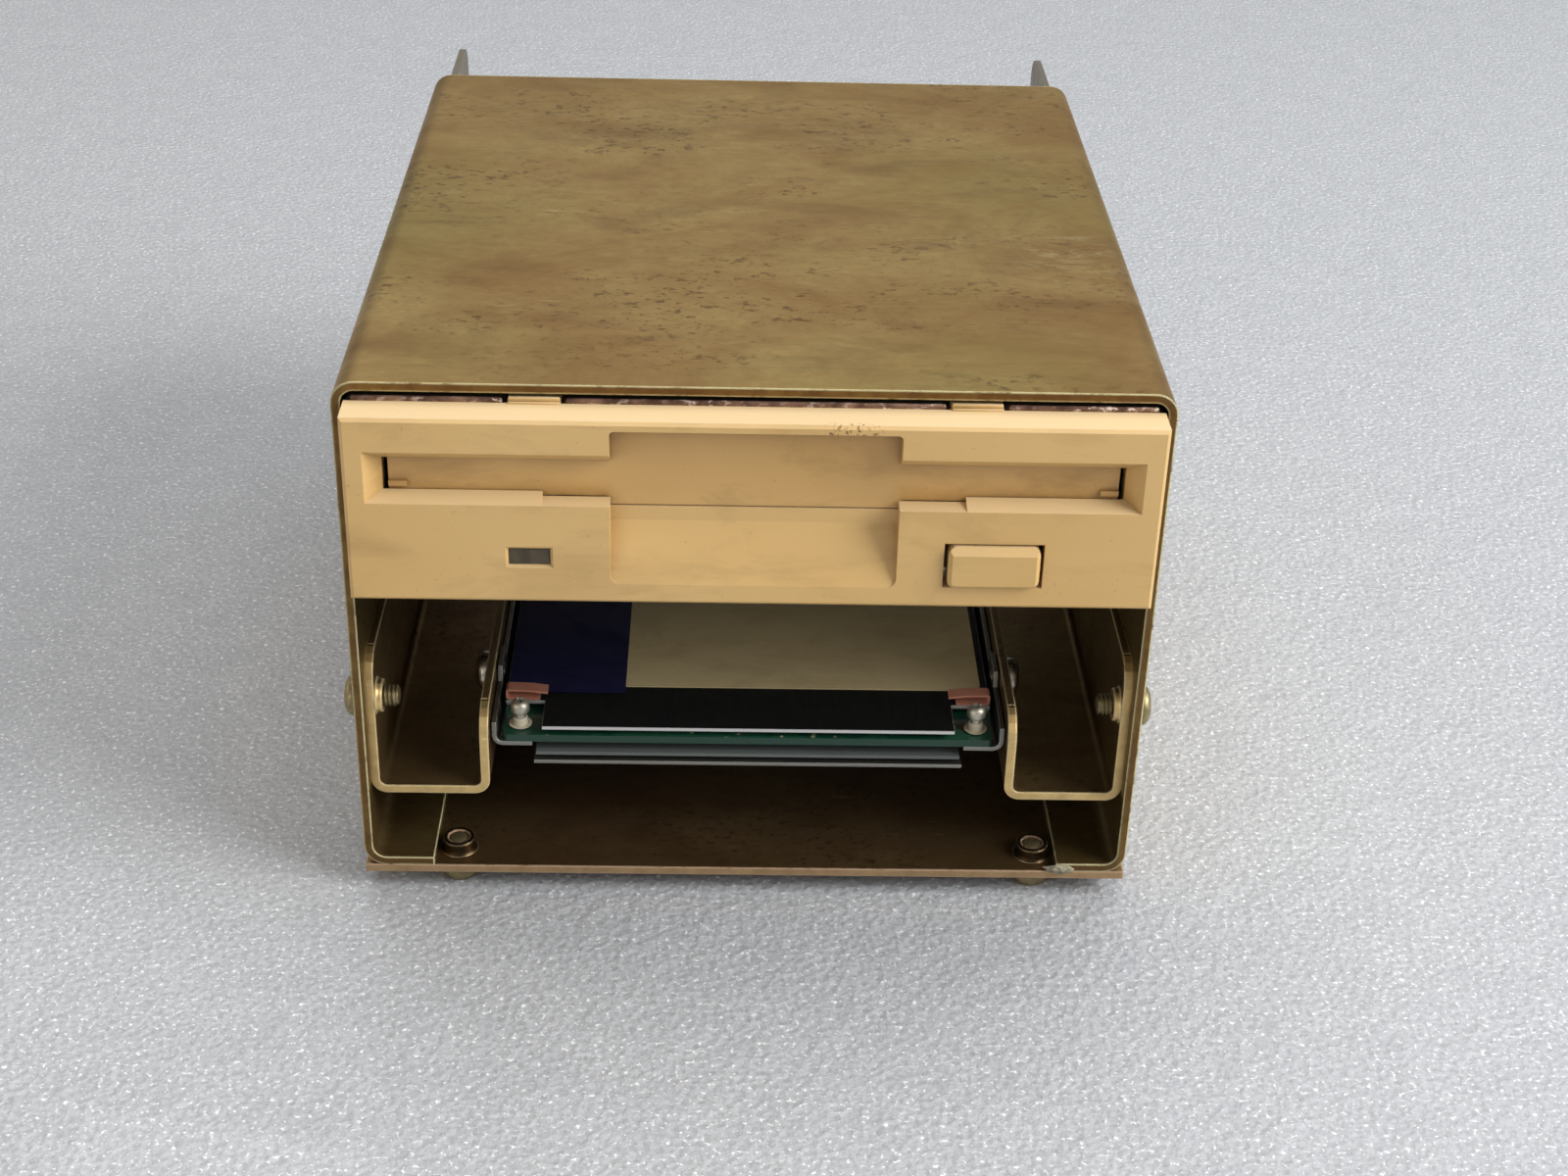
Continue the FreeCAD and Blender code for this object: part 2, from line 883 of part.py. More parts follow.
def module_side_screws():
    """Screws through the channels' inner legs into the tray's ears."""
    seat = module_width / 2 + side_clearance + channel_sheet
    reach = seat - module_width / 2 + tray_sheet + 0.2
    screws = []
    for y in side_screw_places():
        screws += both_sides(pan_screw(seat, y, module_floor + side_screw_z, X_AXIS * -1, reach))
    return group(screws)


def module_socket():
    """Body of the pin header at the module's rear edge."""
    low = module_floor + tray_sheet + module_board_t
    rear = module_front + module_length
    half = socket_w / 2
    side = [(-half, low), (half, low), (half, low + 2.6), (half - 0.8, low + socket_h),
            (0.8 - half, low + socket_h), (-half, low + 2.6)]
    return prism(side, "xz", rear - socket_depth + 0.5, rear)


def module_pins():
    """Two rows of square pins that leave the header to the rear."""
    low = module_floor + tray_sheet + module_board_t
    rear = module_front + module_length
    first = -(socket_pins - 1) * socket_pitch / 2
    pins = []
    for row in range(2):
        z = low + (socket_h - socket_pitch - pin_side) / 2 + row * socket_pitch
        for i in range(socket_pins):
            x = first + i * socket_pitch - pin_side / 2
            pins.append(block(x, x + pin_side, rear, rear + socket_pin_reach, z, z + pin_side))
    return group(pins)


# Front panel, dust door, button and lamp window


def door_axis():
    """Height and depth of the dust door's hinge line."""
    door_front = wall_back + door_gap
    y = door_front + door_barrel_r
    z = drive_low + notch_high - bezel_rim / 2 - door_barrel_r
    return y, z


def slot_funnel():
    """Tapered mouth of the disk slot, drawn a little in front of the face and through the wall."""
    def section(y):
        part = (wall_back - y) / bezel_wall
        half = slot_w / 2 + (slot_mouth_w - slot_w) / 2 * part
        low = slot_low - slot_mouth_low * part
        high = slot_high + slot_mouth_high * part
        return outline(rectangle(-half, half, low, high), "xz", y)
    through = block(-slot_w / 2, slot_w / 2, wall_back, frame_front + 1, slot_low, slot_high)
    return joined([Part.makeLoft([section(face - 1), section(wall_back)], True, True), through])


def finger_recess():
    """Notch above the slot and scooped ramp below it, where two fingers take the disk."""
    half = recess_w / 2
    bottom = drive_low + recess_low
    ledge = drive_low + recess_ledge
    deep = face + recess_depth
    ramp = (ledge - bottom) / recess_depth
    side = [
        (face - 1, bottom - ramp), (deep, ledge), (deep, slot_low - slot_mouth_low),
        (deep, slot_high), (face - 1, slot_high),
    ]
    wedge = prism(side, "yz", -half, half)
    front = rectangle(-half, half, bottom, slot_high)
    rounded = prism(front, "xz", face - 2, deep + 1, [recess_corner, recess_corner, 0, 0])
    notch = rectangle(-half, half, slot_low, drive_low + notch_high)
    upper = prism(notch, "xz", face - 1, wall_back + 0.5, [0, 0, recess_corner / 2, recess_corner / 2])
    return joined([wedge.common(rounded), upper])


def bezel_pockets():
    """Hollows behind the panel's face: for the door, behind the ramp, the lamp and the button."""
    rear = frame_front + 1
    top = drive_low + notch_high
    door_low = drive_low + door_middle_low - door_gap
    side = slot_w / 2
    pockets = [block(-side, side, wall_back, rear, door_low, top)]
    low = drive_low + bezel_rim
    half = recess_w / 2
    ledge = drive_low + recess_ledge
    ramp_low = drive_low + recess_low
    deep = face + recess_depth
    behind = [
        (rear, low), (face + recess_wall, low), (face + recess_wall, ramp_low),
        (deep + recess_wall, ledge), (rear, ledge),
    ]
    pockets.append(prism(behind, "yz", -half, half))
    inner = half + recess_wall
    outer = drive_half - bezel_rim
    high = door_low - recess_wall
    pockets.append(block(-outer, -inner, wall_back, rear, low, high))
    pockets.append(block(inner, outer, wall_back, rear, low, high))
    return pockets


def bezel_hinge_seats():
    """Snap-in seats for the door's pins in the panel's end walls, open to the rear."""
    y, z = door_axis()
    reach = slot_w / 2 + 1.6
    radius = door_pin_r + door_pin_play
    mouth = radius * 0.85
    bore = peg(-reach, y, z, X_AXIS, radius / math.cos(math.pi / 12), 2 * reach)
    lead_in = block(-reach, reach, y, frame_front + 1, z - mouth, z + mouth)
    return [bore, lead_in]


def lamp_hole():
    """Window for the lamp with a bevelled edge."""
    left = lamp_x - lamp_w / 2
    low = drive_low + lamp_low
    hole = block(left, left + lamp_w, face - 1, frame_front + 1, low, low + lamp_h)

    def section(y, grow):
        points = rectangle(left - grow, left + lamp_w + grow, low - grow, low + lamp_h + grow)
        return outline(points, "xz", y)

    sections = [section(face - 0.5, lamp_bevel + 0.5), section(face + lamp_bevel, 0.0)]
    bevel = Part.makeLoft(sections, True, True)
    return [hole, bevel]


def button_hole():
    """Opening for the eject button."""
    left = button_x - button_hole_w / 2
    low = drive_low + button_hole_low
    return block(left, left + button_hole_w, face - 1, frame_front + 1, low, low + button_hole_h)


def hook_tab(x):
    """Tab at the panel's top edge that hooks into a notch of the top cover."""
    low = frame_top
    rear = frame_front + tab_length
    tab = block(x - tab_w / 2, x + tab_w / 2, frame_front - bezel_rim, rear, low, drive_top)
    bead = peg(x - tab_w / 2, rear - 0.6, low, X_AXIS, 0.6, tab_w)
    slit = block(x - tab_w / 4, x + tab_w / 4, frame_front + 0.7, frame_front + 1.2, low + 0.5, drive_top + 1)
    return cut_out(joined([tab, bead]), [slit])


def snap_arm():
    """Springy side arm whose barb catches in a window of the frame's wall."""
    outer = frame_in - 0.25
    low = snap_low()
    rear = frame_front + snap_length
    path = [
        (outer - snap_t, frame_front - bezel_rim), (outer, frame_front - bezel_rim), (outer, rear - 2.2),
        (outer + frame_sheet * 0.9, rear - 1.8), (outer + 0.1, rear), (outer - snap_t, rear),
    ]
    return prism(path, "xy", low, low + snap_w)


def snap_low():
    """Height of the snap arms' lower edge."""
    return slot_mid - snap_w / 2


def bezel():
    """Moulded front panel with slot, finger recess, lamp window, button hole and hook tabs."""
    body = block(-drive_half, drive_half, face, frame_front, drive_low, drive_top)
    front_edges = [edge for edge in body.Edges if edge.CenterOfMass.y < face + TINY]
    body = body.makeChamfer(bezel_edge * 0.7, front_edges)
    step = lip_step_w / 2
    lip = block(-step, step, face - 1, wall_back + 0.5, slot_low - slot_mouth_low, slot_low + 0.2)
    tools = [slot_funnel(), lip, finger_recess(), button_hole()]
    tools += bezel_pockets() + bezel_hinge_seats() + lamp_hole()
    panel = cut_out(body, tools)
    extras = [hook_tab(-tab_x), hook_tab(tab_x)]
    extras += both_sides(snap_arm())
    return joined([panel] + extras)


def dust_door():
    """Flat door with a deeper middle, a hinge barrel along its top and a pin at each end."""
    y, z = door_axis()
    front = wall_back + door_gap
    end = slot_w / 2 - door_end_gap
    middle = recess_w / 2 + door_over_recess
    low = slot_low - door_low_inset
    middle_low = drive_low + door_middle_low
    points = [
        (-end, low), (-middle, low), (-middle, middle_low), (middle, middle_low),
        (middle, low), (end, low), (end, z), (-end, z),
    ]
    plate = prism(points, "xz", front, front + door_t)
    barrel = peg(-end, y, z, X_AXIS, door_barrel_r, 2 * end, 10)
    coil_low = door_coil_x - door_coil_w / 2
    coil_space = block(coil_low, coil_low + door_coil_w, face, frame_front + 2, z - door_barrel_r, z + 2)
    core = peg(coil_low, y, z, X_AXIS, door_pin_r * 0.6, door_coil_w)
    pin_end = end + door_end_gap + 1.3
    pins = rod(-pin_end, y, z, X_AXIS, door_pin_r, 2 * pin_end)
    pins = cut_out(pins, [coil_space])
    body = cut_out(joined([plate, barrel]), [coil_space])
    nubs = both_sides(block(end - 2.3, end, front - 0.45, front + 0.1, slot_low + 0.5, slot_low + 1.2))
    return joined([body, pins, core] + nubs)


def door_spring():
    """Torsion spring on the door's barrel, one leg on the door and one on the panel."""
    y, z = door_axis()
    low = door_coil_x - door_coil_w / 2 + 0.3
    width = door_coil_w - 0.6
    outer = peg(low, y, z, X_AXIS, door_barrel_r, width)
    inner = peg(low - 1, y, z, X_AXIS, door_pin_r * 0.6 + 0.05, width + 2)
    coil = cut_out(outer, [inner])
    wire = 0.2
    back = wall_back + door_gap + door_t
    leg = block(low, low + 2 * wire, back + 0.02, back + 0.02 + 2 * wire, z - 4.5, z - 0.5)
    return joined([coil, leg])


def eject_button():
    """Hollow button cap with bevelled front edges and a slotted boss for the slide's tongue."""
    width = button_hole_w - 2 * button_side_gap
    height = button_hole_h - 2 * button_gap
    left = button_x - width / 2
    low = drive_low + button_hole_low + button_gap
    front = face - button_stand
    rear = front + button_length
    points = stepped(rectangle(left, left + width, low, low + height), [button_corner] * 4, 4)
    body = prism(points, "xz", front, rear)
    front_edges = [edge for edge in body.Edges if edge.CenterOfMass.y < front + TINY]
    body = body.makeChamfer(button_edge, front_edges)
    slope = [(front - 1, low + height - button_bevel - 1), (front - 1, low + height + 1),
             (front + button_bevel + 1, low + height + 1)]
    body = cut_out(body, [prism(slope, "yz", left - 1, left + width + 1)])
    inside = rectangle(left + button_wall, left + width - button_wall, low + button_wall,
                       low + height - button_wall)
    hollow = prism(inside, "xz", front + 2.2, rear + 1)
    body = cut_out(body, [hollow])
    tongue_low, tongue_high = tongue_levels()
    boss_half = tongue_w / 2 + 0.9
    boss = block(button_x - boss_half, button_x + boss_half, front + 2.0, rear, low + 0.5, low + height - 0.5)
    grip = 0.05
    slit = block(button_x - tongue_w / 2 - grip, button_x + tongue_w / 2 + grip, tongue_front() - 0.2,
                 rear + 1, tongue_low - grip, tongue_high + grip)
    return cut_out(joined([body, boss]), [slit])


def tongue_levels():
    """Lower and upper faces of the slide's tongue inside the button."""
    high = deck_top + slide_lift + slide_sheet - tongue_drop
    return high - slide_sheet, high


def tongue_front():
    """Front end of the slide's tongue."""
    return face - button_stand + 0.5 * button_length


def led_window():
    """Smoky light pipe: a lens in the window and a flange against the back of the panel's wall."""
    gap = 0.1
    left = lamp_x - lamp_w / 2
    low = drive_low + lamp_low
    lens = block(left + gap, left + lamp_w - gap, face + lamp_bevel, wall_back + 0.1, low + gap,
                 low + lamp_h - gap)
    flange = block(left - 1.0, left + lamp_w + 1.0, wall_back, wall_back + 0.8, low - 0.9, low + lamp_h + 1.0)
    pipe = block(lamp_x - 1.5, lamp_x + 1.5, wall_back + 0.7, main_board_front + 0.2, low, low + lamp_h)
    return joined([lens, flange, pipe])


# Drive frame and covers


def holder_levels():
    """Faces of the disk holder at rest: lower and upper side of the lips, roof below and above."""
    lip_top = disk_low - holder_play / 2
    roof_low = disk_low + disk_t + holder_play / 2
    return lip_top - holder_sheet, lip_top, roof_low, roof_low + holder_sheet


def holder_half():
    """Half the outer width of the disk holder."""
    return disk_width / 2 + holder_side_play + holder_sheet


def pin_places():
    """Distances of the holder's guide pins from the front edge of the cage."""
    return [pin_front, pin_front + pin_pitch]


def rivet_places():
    """Distances of the slide's rivets from the front edge of the cage."""
    return [rivet_front, rivet_front + rivet_pitch]


def spring_level():
    """Height of the slide springs' axis."""
    return deck_top + hook_h * 0.66


def motor_axis():
    """Height of the lead screw and stepper motor axis."""
    return drive_low + motor_axis_h


def rod_axis():
    """Height of the guide rod."""
    return deck_top + rod_h


def board_top():
    """Upper face of the main board."""
    return drive_low + main_board_h + main_board_t


def board_boss_places():
    """Centres of the bosses that carry the front of the main board."""
    x = main_board_w / 2 - 4.5
    return [(side * x, y) for side in (-1, 1) for y in (main_board_front + 15.0, deck_rear - 6.0)]


def rear_lug_places():
    """Centres of the lugs that carry the rear of the main board."""
    x = frame_in - 3.2
    return [(-x, main_board_rear - 5.0), (x, main_board_rear - 5.0)]


def frame_walls():
    """Side walls of the drive, their rear upper corners rounded, with slots and windows."""
    side = rectangle(frame_front, drive_rear, drive_low, frame_top)
    wall = prism(stepped(side, [0, 0, ear_corner, 0], 4), "yz", frame_in, drive_half)
    tools = []
    low = slot_mid - disk_drop
    for y in pin_places():
        start = V(frame_in - 1, y, low)
        end = V(frame_in - 1, y, slot_mid)
        tools.append(slot_tool(start, end, pin_r + pin_play, X_AXIS, frame_sheet + 2))
    for y in mount_screw_places():
        tools.append(screw_hole(frame_in - 1, y, drive_low + mount_h, X_AXIS, frame_sheet + 2))
    barb = frame_front + snap_length
    window = rectangle(barb - 2.4, barb + 0.3, snap_low() - 0.2, snap_low() + snap_w + 0.2)
    tools.append(prism(window, "yz", frame_in - 1, drive_half + 1))
    return both_sides(cut_out(wall, tools))


def motor_wall():
    """Upright plate at the rear of the deck that holds the stepper motor and the guide rod."""
    z = motor_axis()
    reach = motor_screw_at() + 3.2
    left = screw_axis_x - reach
    right = rod_x + 4.0
    top = z + motor_r + 0.6
    shoulder = z + 4.2
    points = [
        (left, deck_low), (right, deck_low), (right, shoulder), (screw_axis_x + reach, shoulder),
        (screw_axis_x + 7.0, top), (screw_axis_x - 7.0, top), (left, shoulder),
    ]
    return prism(stepped(points, [0, 0, 0, 0, 3.0, 3.0, 0]), "xz", motor_wall_y, motor_front)


def motor_screw_at():
    """Distance of the motor's screws from its axis."""
    return motor_r + head_r * small_screw + 0.5


def upright_tab(x, top, front):
    """Tab bent up from the deck, with its upper corners cut off."""
    half = 3.1
    points = [
        (x - half, deck_low), (x + half, deck_low), (x + half, top - 1.2),
        (x + half - 1.2, top), (x - half + 1.2, top), (x - half, top - 1.2),
    ]
    return prism(points, "xz", front, front + frame_sheet)


def drive_frame():
    """Two side walls, the deck between them, and the tabs that carry the mechanism."""
    deck = block(-frame_in, frame_in, deck_front, deck_rear, deck_low, deck_top)
    tab_rear = rod_front + frame_sheet
    rod_tab = upright_tab(rod_x, rod_axis() + 2.6, rod_front)
    lead_tab = upright_tab(screw_axis_x, motor_axis() + 2.0, lead_front + 0.3)
    parts = [deck, rod_tab, lead_tab, motor_wall()] + frame_walls()
    for side in (-1, 1):
        x = side * spring_x
        parts.append(block(x - hook_w / 2, x + hook_w / 2, spring_front - hook_t, spring_front,
                           deck_low, deck_low + frame_sheet + hook_h))
    for x, y in board_boss_places():
        parts.append(peg(x, y, board_top(), Z_AXIS, 2.5, deck_low - board_top() + 0.2, screw_sides))
    for x, y in rear_lug_places():
        reach = frame_in if x > 0 else -frame_in
        inner = x - 3.0 if x > 0 else x + 3.0
        parts.append(block(min(inner, reach), max(inner, reach), y - 3.5, y + 3.5,
                           board_top(), board_top() + frame_sheet))
    z = motor_axis()
    tools = [
        peg(0, hub_y, deck_low - 1, Z_AXIS, bearing_r, frame_sheet + 2, bearing_sides),
        block(-10.0, rod_x + 3.6, tab_rear, motor_wall_y - 1.5, deck_low - 1, deck_top + 1),
        peg(rod_x, rod_front - 1, rod_axis(), Y_AXIS, rod_r * 1.04, motor_wall_y - rod_front + 3),
        peg(screw_axis_x, lead_front, z, Y_AXIS, bush_r, 3.0),
        peg(screw_axis_x, motor_wall_y - 1, z, Y_AXIS, motor_pilot_r + 0.1, frame_sheet + 2),
    ]
    return cut_out(joined(parts), tools)


def top_cover():
    """Flat cover on the walls' top edges, notched for the panel's hook tabs, with inner skirts."""
    half = drive_half - 0.2
    rear = frame_front + cover_length
    notch = tab_length + 0.4
    hook = tab_w / 2 + 0.3
    points = [(-half, frame_front)]
    radii = [0.8]
    for x in (-tab_x, tab_x):
        points += [(x - hook, frame_front), (x - hook, frame_front + notch),
                   (x + hook, frame_front + notch), (x + hook, frame_front)]
        radii += [0.9, 0, 0, 0.9]
    points += [(half, frame_front), (half, rear), (-half, rear)]
    radii += [0.8, 0, 0]
    plate = prism(stepped(points, radii), "xy", frame_top, frame_top + cover_sheet)
    outer = frame_in - 0.1
    low = frame_top - cover_skirt
    skirt = block(outer - cover_sheet, outer, frame_front + 8.0, rear - 6.0, low, frame_top)
    return joined([plate] + both_sides(skirt))


def bottom_shield():
    """Thin sheet under the main board with turned-up sides."""
    half = frame_in - 0.1
    top = drive_low + shield_lip
    path = [(-half, top), (-half, drive_low), (half, drive_low), (half, top)]
    rear = drive_rear - shield_rear_gap
    return bent_sheet(path, "xz", shield_front, rear, shield_sheet, 0.0, 1)


# Disk holder, eject slide and latch lever


def arc_slot(x, y, radius, start, end, half, low, high):
    """Slot along an arc about (x, y) between two angles in degrees, for a round pin."""
    def spot(reach, angle):
        turn = math.radians(angle)
        return V(x + reach * math.cos(turn), y + reach * math.sin(turn), low)

    middle = (start + end) / 2
    outer = Part.Arc(spot(radius + half, start), spot(radius + half, middle), spot(radius + half, end))
    inner = Part.Arc(spot(radius - half, end), spot(radius - half, middle), spot(radius - half, start))
    sides = [
        Part.LineSegment(spot(radius + half, end), spot(radius - half, end)),
        Part.LineSegment(spot(radius - half, start), spot(radius + half, start)),
    ]
    wire = Part.Wire([outer.toShape(), sides[0].toShape(), inner.toShape(), sides[1].toShape()])
    body = Part.Face(wire).extrude(Z_AXIS * (high - low))
    places = [spot(radius, angle) for angle in (start, end)]
    ends = [peg(place.x, place.y, low, Z_AXIS, half, high - low) for place in places]
    return joined([body] + ends)


def disk_holder():
    """Sheet carrier round the disk: roof, sides and lips, open under the heads and at the rear."""
    lip_low, lip_top, roof_low, roof_top = holder_levels()
    half = holder_half()
    disk_rear = face + disk_recess + disk_length
    rear = disk_rear + holder_tail
    inner = half - holder_sheet - holder_lip
    path = [
        (-inner, lip_low), (-half, lip_low), (-half, roof_top),
        (half, roof_top), (half, lip_low), (inner, lip_low),
    ]
    holder = bent_sheet(path, "xz", holder_front, rear, holder_sheet, 0.0, -1)
    stop_high = half - holder_sheet - 2.2
    stop_low = stop_high - stop_w
    stops = both_sides(block(stop_low, stop_high, disk_rear + 0.2, disk_rear + 0.2 + holder_sheet,
                             lip_top + 0.3, roof_low + 0.1))
    window = rectangle(-window_w / 2, window_w / 2, window_front, rear + 1)
    tools = [prism(window, "xy", roof_low - 1, roof_top + 1)]
    narrow = recess_w / 2
    wide = narrow + mouth_side
    deep = holder_front + mouth_depth
    mouth = [(-wide, holder_front - 1), (wide, holder_front - 1), (narrow, deep), (-narrow, deep)]
    tools.append(prism(mouth, "xy", roof_low - 1, roof_top + 1))
    tools.append(block(-side_window_out, -side_window_in, side_window_front, side_window_rear,
                       roof_low - 1, roof_top + 1))
    lance = disk_rear + 0.2 + holder_sheet
    tools += both_sides(block(stop_low, stop_high, lance, lance + 2.6, roof_low - 1, roof_top + 1))
    slot_half = lever_pin_r + lever_slot_play
    tools.append(arc_slot(lever_x, lever_y, lever_reach, lever_rest + 1.0, lever_rest - lever_swing - 1.0,
                          slot_half, roof_low - 1, roof_top + 1))
    return cut_out(joined([holder] + stops), tools)


def holder_pins():
    """Four guide pins on the holder's sides, through the slide and into the frame."""
    start = holder_half()
    pins = []
    for y in pin_places():
        pins += both_sides(peg(start, y, slot_mid, X_AXIS, pin_r, drive_half - 0.2 - start))
    return group(pins)


def lever_pivot():
    """Shouldered rivet on the holder's roof that the lever and its spring turn on."""
    roof_top = holder_levels()[3]
    lift = lever_gap + lever_sheet + 1.2
    shank = peg(lever_x, lever_y, roof_top, Z_AXIS, lever_pivot_r, lift)
    head = peg(lever_x, lever_y, roof_top + lift, Z_AXIS, lever_root_r * 0.75, 0.6)
    return joined([shank, head])


def latch_lever():
    """Tapered lever with a round root, and a pin at its tip that the disk pushes back."""
    roof_top = holder_levels()[3]
    low = roof_top + lever_gap
    high = low + lever_sheet
    turn = math.radians(lever_rest)
    tip_x = lever_x + lever_reach * math.cos(turn)
    tip_y = lever_y + lever_reach * math.sin(turn)
    lean = math.asin((lever_root_r - lever_tip_r) / lever_reach)
    points = []
    for sign, order in ((1, (0, 1)), (-1, (1, 0))):
        angle = turn + sign * (math.pi / 2 - lean)
        ends = [
            (lever_x + lever_root_r * math.cos(angle), lever_y + lever_root_r * math.sin(angle)),
            (tip_x + lever_tip_r * math.cos(angle), tip_y + lever_tip_r * math.sin(angle)),
        ]
        points += [ends[i] for i in order]
    arm = prism(points, "xy", low, high)
    root = peg(lever_x, lever_y, low, Z_AXIS, lever_root_r, lever_sheet, 16)
    tip = peg(tip_x, tip_y, low, Z_AXIS, lever_tip_r, lever_sheet)
    pin = peg(tip_x, tip_y, disk_low + 0.2, Z_AXIS, lever_pin_r, high - disk_low - 0.2)
    bore = rod(lever_x, lever_y, low - 1, Z_AXIS, lever_pivot_r + 0.05, lever_sheet + 2)
    return cut_out(joined([arm, root, tip, pin]), [bore])


def lever_spring():
    """Torsion spring round the lever's pivot, one leg along the lever."""
    low = holder_levels()[3] + lever_gap + lever_sheet + 0.05
    outer = peg(lever_x, lever_y, low, Z_AXIS, lever_pivot_r + 0.95, 1.0)
    inner = peg(lever_x, lever_y, low - 1, Z_AXIS, lever_pivot_r + 0.1, 3.0)
    leg = block(lever_x - 8.0, lever_x, lever_y - lever_pivot_r - 0.95, lever_y - lever_pivot_r - 0.45,
                low, low + 0.5)
    return cut_out(joined([outer, leg]), [inner])


def eject_slide():
    """Flat frame on the deck with upright walls; its sloping slots lower the holder's pins."""
    outer = frame_in - slide_wall_gap
    inner = outer - slide_strip
    low = deck_top + slide_lift
    high = low + slide_sheet
    wall_top = low + slide_wall_h
    side_front = slide_front + slide_cross
    path = [(inner, low), (outer, low), (outer, wall_top)]
    rail = bent_sheet(path, "xz", side_front - 1, slide_rear, slide_sheet, 0.0, 1)
    tools = []
    for y in pin_places():
        start = V(outer - slide_sheet - 1, y, slot_mid)
        end = V(outer - slide_sheet - 1, y + slide_travel, slot_mid - disk_drop)
        stretch = (end - start).normalize() * pin_play
        tools.append(slot_tool(start - stretch, end + stretch, pin_r + pin_play, X_AXIS, slide_sheet + 2))
    for y in rivet_places():
        x = frame_in - rivet_inset
        tools.append(slot_tool(V(x, y, low - 1), V(x, y + slide_travel, low - 1), rivet_r + pin_play,
                               Z_AXIS, slide_sheet + 2))
    for y, way in ((side_front - 1, 1), (slide_rear, -1)):
        far = y + 3 * way
        points = [(y - way, wall_top - 3), (y, wall_top - 3), (far, wall_top), (far, wall_top + 1),
                  (y - way, wall_top + 1)]
        tools.append(prism(points, "yz", outer - slide_sheet - 1, outer + 1))
    rails = both_sides(cut_out(rail, tools))
    cross = block(-outer, outer, slide_front, side_front, low, high)
    lug_y = spring_front + spring_length
    lug = block(spring_x - 1.4, inner + 0.3, lug_y, lug_y + hook_t, low, deck_top + hook_h)
    lugs = both_sides(lug)
    tongue_low, tongue_high = tongue_levels()
    bend_y = slide_front - 2 * slide_sheet
    path = [(slide_front + 1, high), (bend_y, high), (bend_y, tongue_high), (tongue_front(), tongue_high)]
    half = tongue_w / 2
    tongue = bent_sheet(path, "yz", button_x - half, button_x + half, slide_sheet, 0.0, 1)
    return joined([cross, tongue] + rails + lugs)


def slide_rivets():
    """Shouldered rivets on the deck that guide the slide and hold it down."""
    high = deck_top + slide_lift + slide_sheet + 0.1
    rivets = []
    for y in rivet_places():
        x = frame_in - rivet_inset
        shank = peg(x, y, deck_top, Z_AXIS, rivet_r, high - deck_top, screw_sides)
        head = peg(x, y, high, Z_AXIS, rivet_head_r, rivet_head_h, screw_sides)
        rivets += both_sides(joined([shank, head]))
    return group(rivets)


def slide_springs():
    """Two tension springs that pull the slide forward once the lever lets it go."""
    coil = peg(spring_x, spring_front, spring_level(), Y_AXIS, spring_r, spring_length)
    return group(both_sides(coil))


# Spindle


def board_level():
    """Upper face of the spindle motor's board."""
    return deck_top + motor_board_t


def stator_low():
    """Lower face of the stator."""
    return board_level() + 0.5


def rotor_low():
    """Lower face of the rotor's plate."""
    return stator_low() + stator_t + 0.6


def turned(shape, turn):
    """Copy of a piece turned about the spindle's axis by degrees."""
    copy = shape.copy()
    copy.rotate(V(0, hub_y, 0), Z_AXIS, turn)
    return copy


def spindle_motor_board():
    """Circuit board of the spindle motor, flat on the deck round the bearing."""
    half = motor_board_w / 2
    cut = 12.0
    points = [
        (-half, motor_board_front), (half, motor_board_front), (half, motor_board_rear - cut),
        (half - cut, motor_board_rear), (cut - half, motor_board_rear), (-half, motor_board_rear - cut),
    ]
    board = prism(points, "xy", deck_top, board_level())
    return cut_out(board, [peg(0, hub_y, deck_low, Z_AXIS, bearing_r, 4.0, bearing_sides)])


def motor_board_screw_places():
    """Centres of the spindle motor board's screws."""
    x = motor_board_w / 2 - 4.5
    return [(side * x, y) for side in (-1, 1) for y in (motor_board_front + 12.0, hub_y + 4.0)]


def spindle_bearing():
    """Flanged bearing through board and deck, with the stator on its flange."""
    low = deck_low - 0.9
    top = rotor_low() - 0.4
    body = peg(0, hub_y, low, Z_AXIS, bearing_r, top - low, bearing_sides)
    flange_h = stator_low() - board_level()
    flange = peg(0, hub_y, board_level(), Z_AXIS, bearing_flange_r, flange_h, bearing_sides)
    bore_r = (shaft_r + shaft_play) / math.cos(math.pi / bearing_sides)
    bore = peg(0, hub_y, low - 1, Z_AXIS, bore_r, top - low + 2, bearing_sides)
    return cut_out(joined([body, flange]), [bore])


def stator_outer():
    """Outer radius of the stator."""
    return rotor_r - rotor_wall - magnet_wall - stator_gap


def stator_arm(grow, start, end):
    """One arm of the stator along +Y, or the space round it."""
    half = stator_arm_w / 2 + grow
    return block(-half, half, hub_y + start, hub_y + end, stator_low() - grow, stator_low() + stator_t + grow)


def spindle_stator():
    """Laminated star of equal arms with wide tips, pressed on the bearing."""
    low = stator_low()
    outer = stator_outer()
    step = 360.0 / stator_arms
    sides = 2 * stator_arms
    hub = peg(0, hub_y, low, Z_AXIS, stator_hub_r, stator_t, bearing_sides)
    ring = peg(0, hub_y, low, Z_AXIS, outer, stator_t, sides)
    ring = ring.cut(peg(0, hub_y, low - 1, Z_AXIS, outer - 1.7, 3.0, sides))
    space = block(-1.0, 1.0, hub_y + outer - 3.0, hub_y + outer + 1.0, low - 1, low + stator_t + 1)
    ring = ring.cut([turned(space, step * (i + 0.5)) for i in range(stator_arms)])
    arms = [turned(stator_arm(0, stator_hub_r - 0.5, outer - 0.8), step * i) for i in range(stator_arms)]
    body = joined([hub, ring] + arms)
    return cut_out(body, [peg(0, hub_y, low - 1, Z_AXIS, bearing_r, 3.0, bearing_sides)])


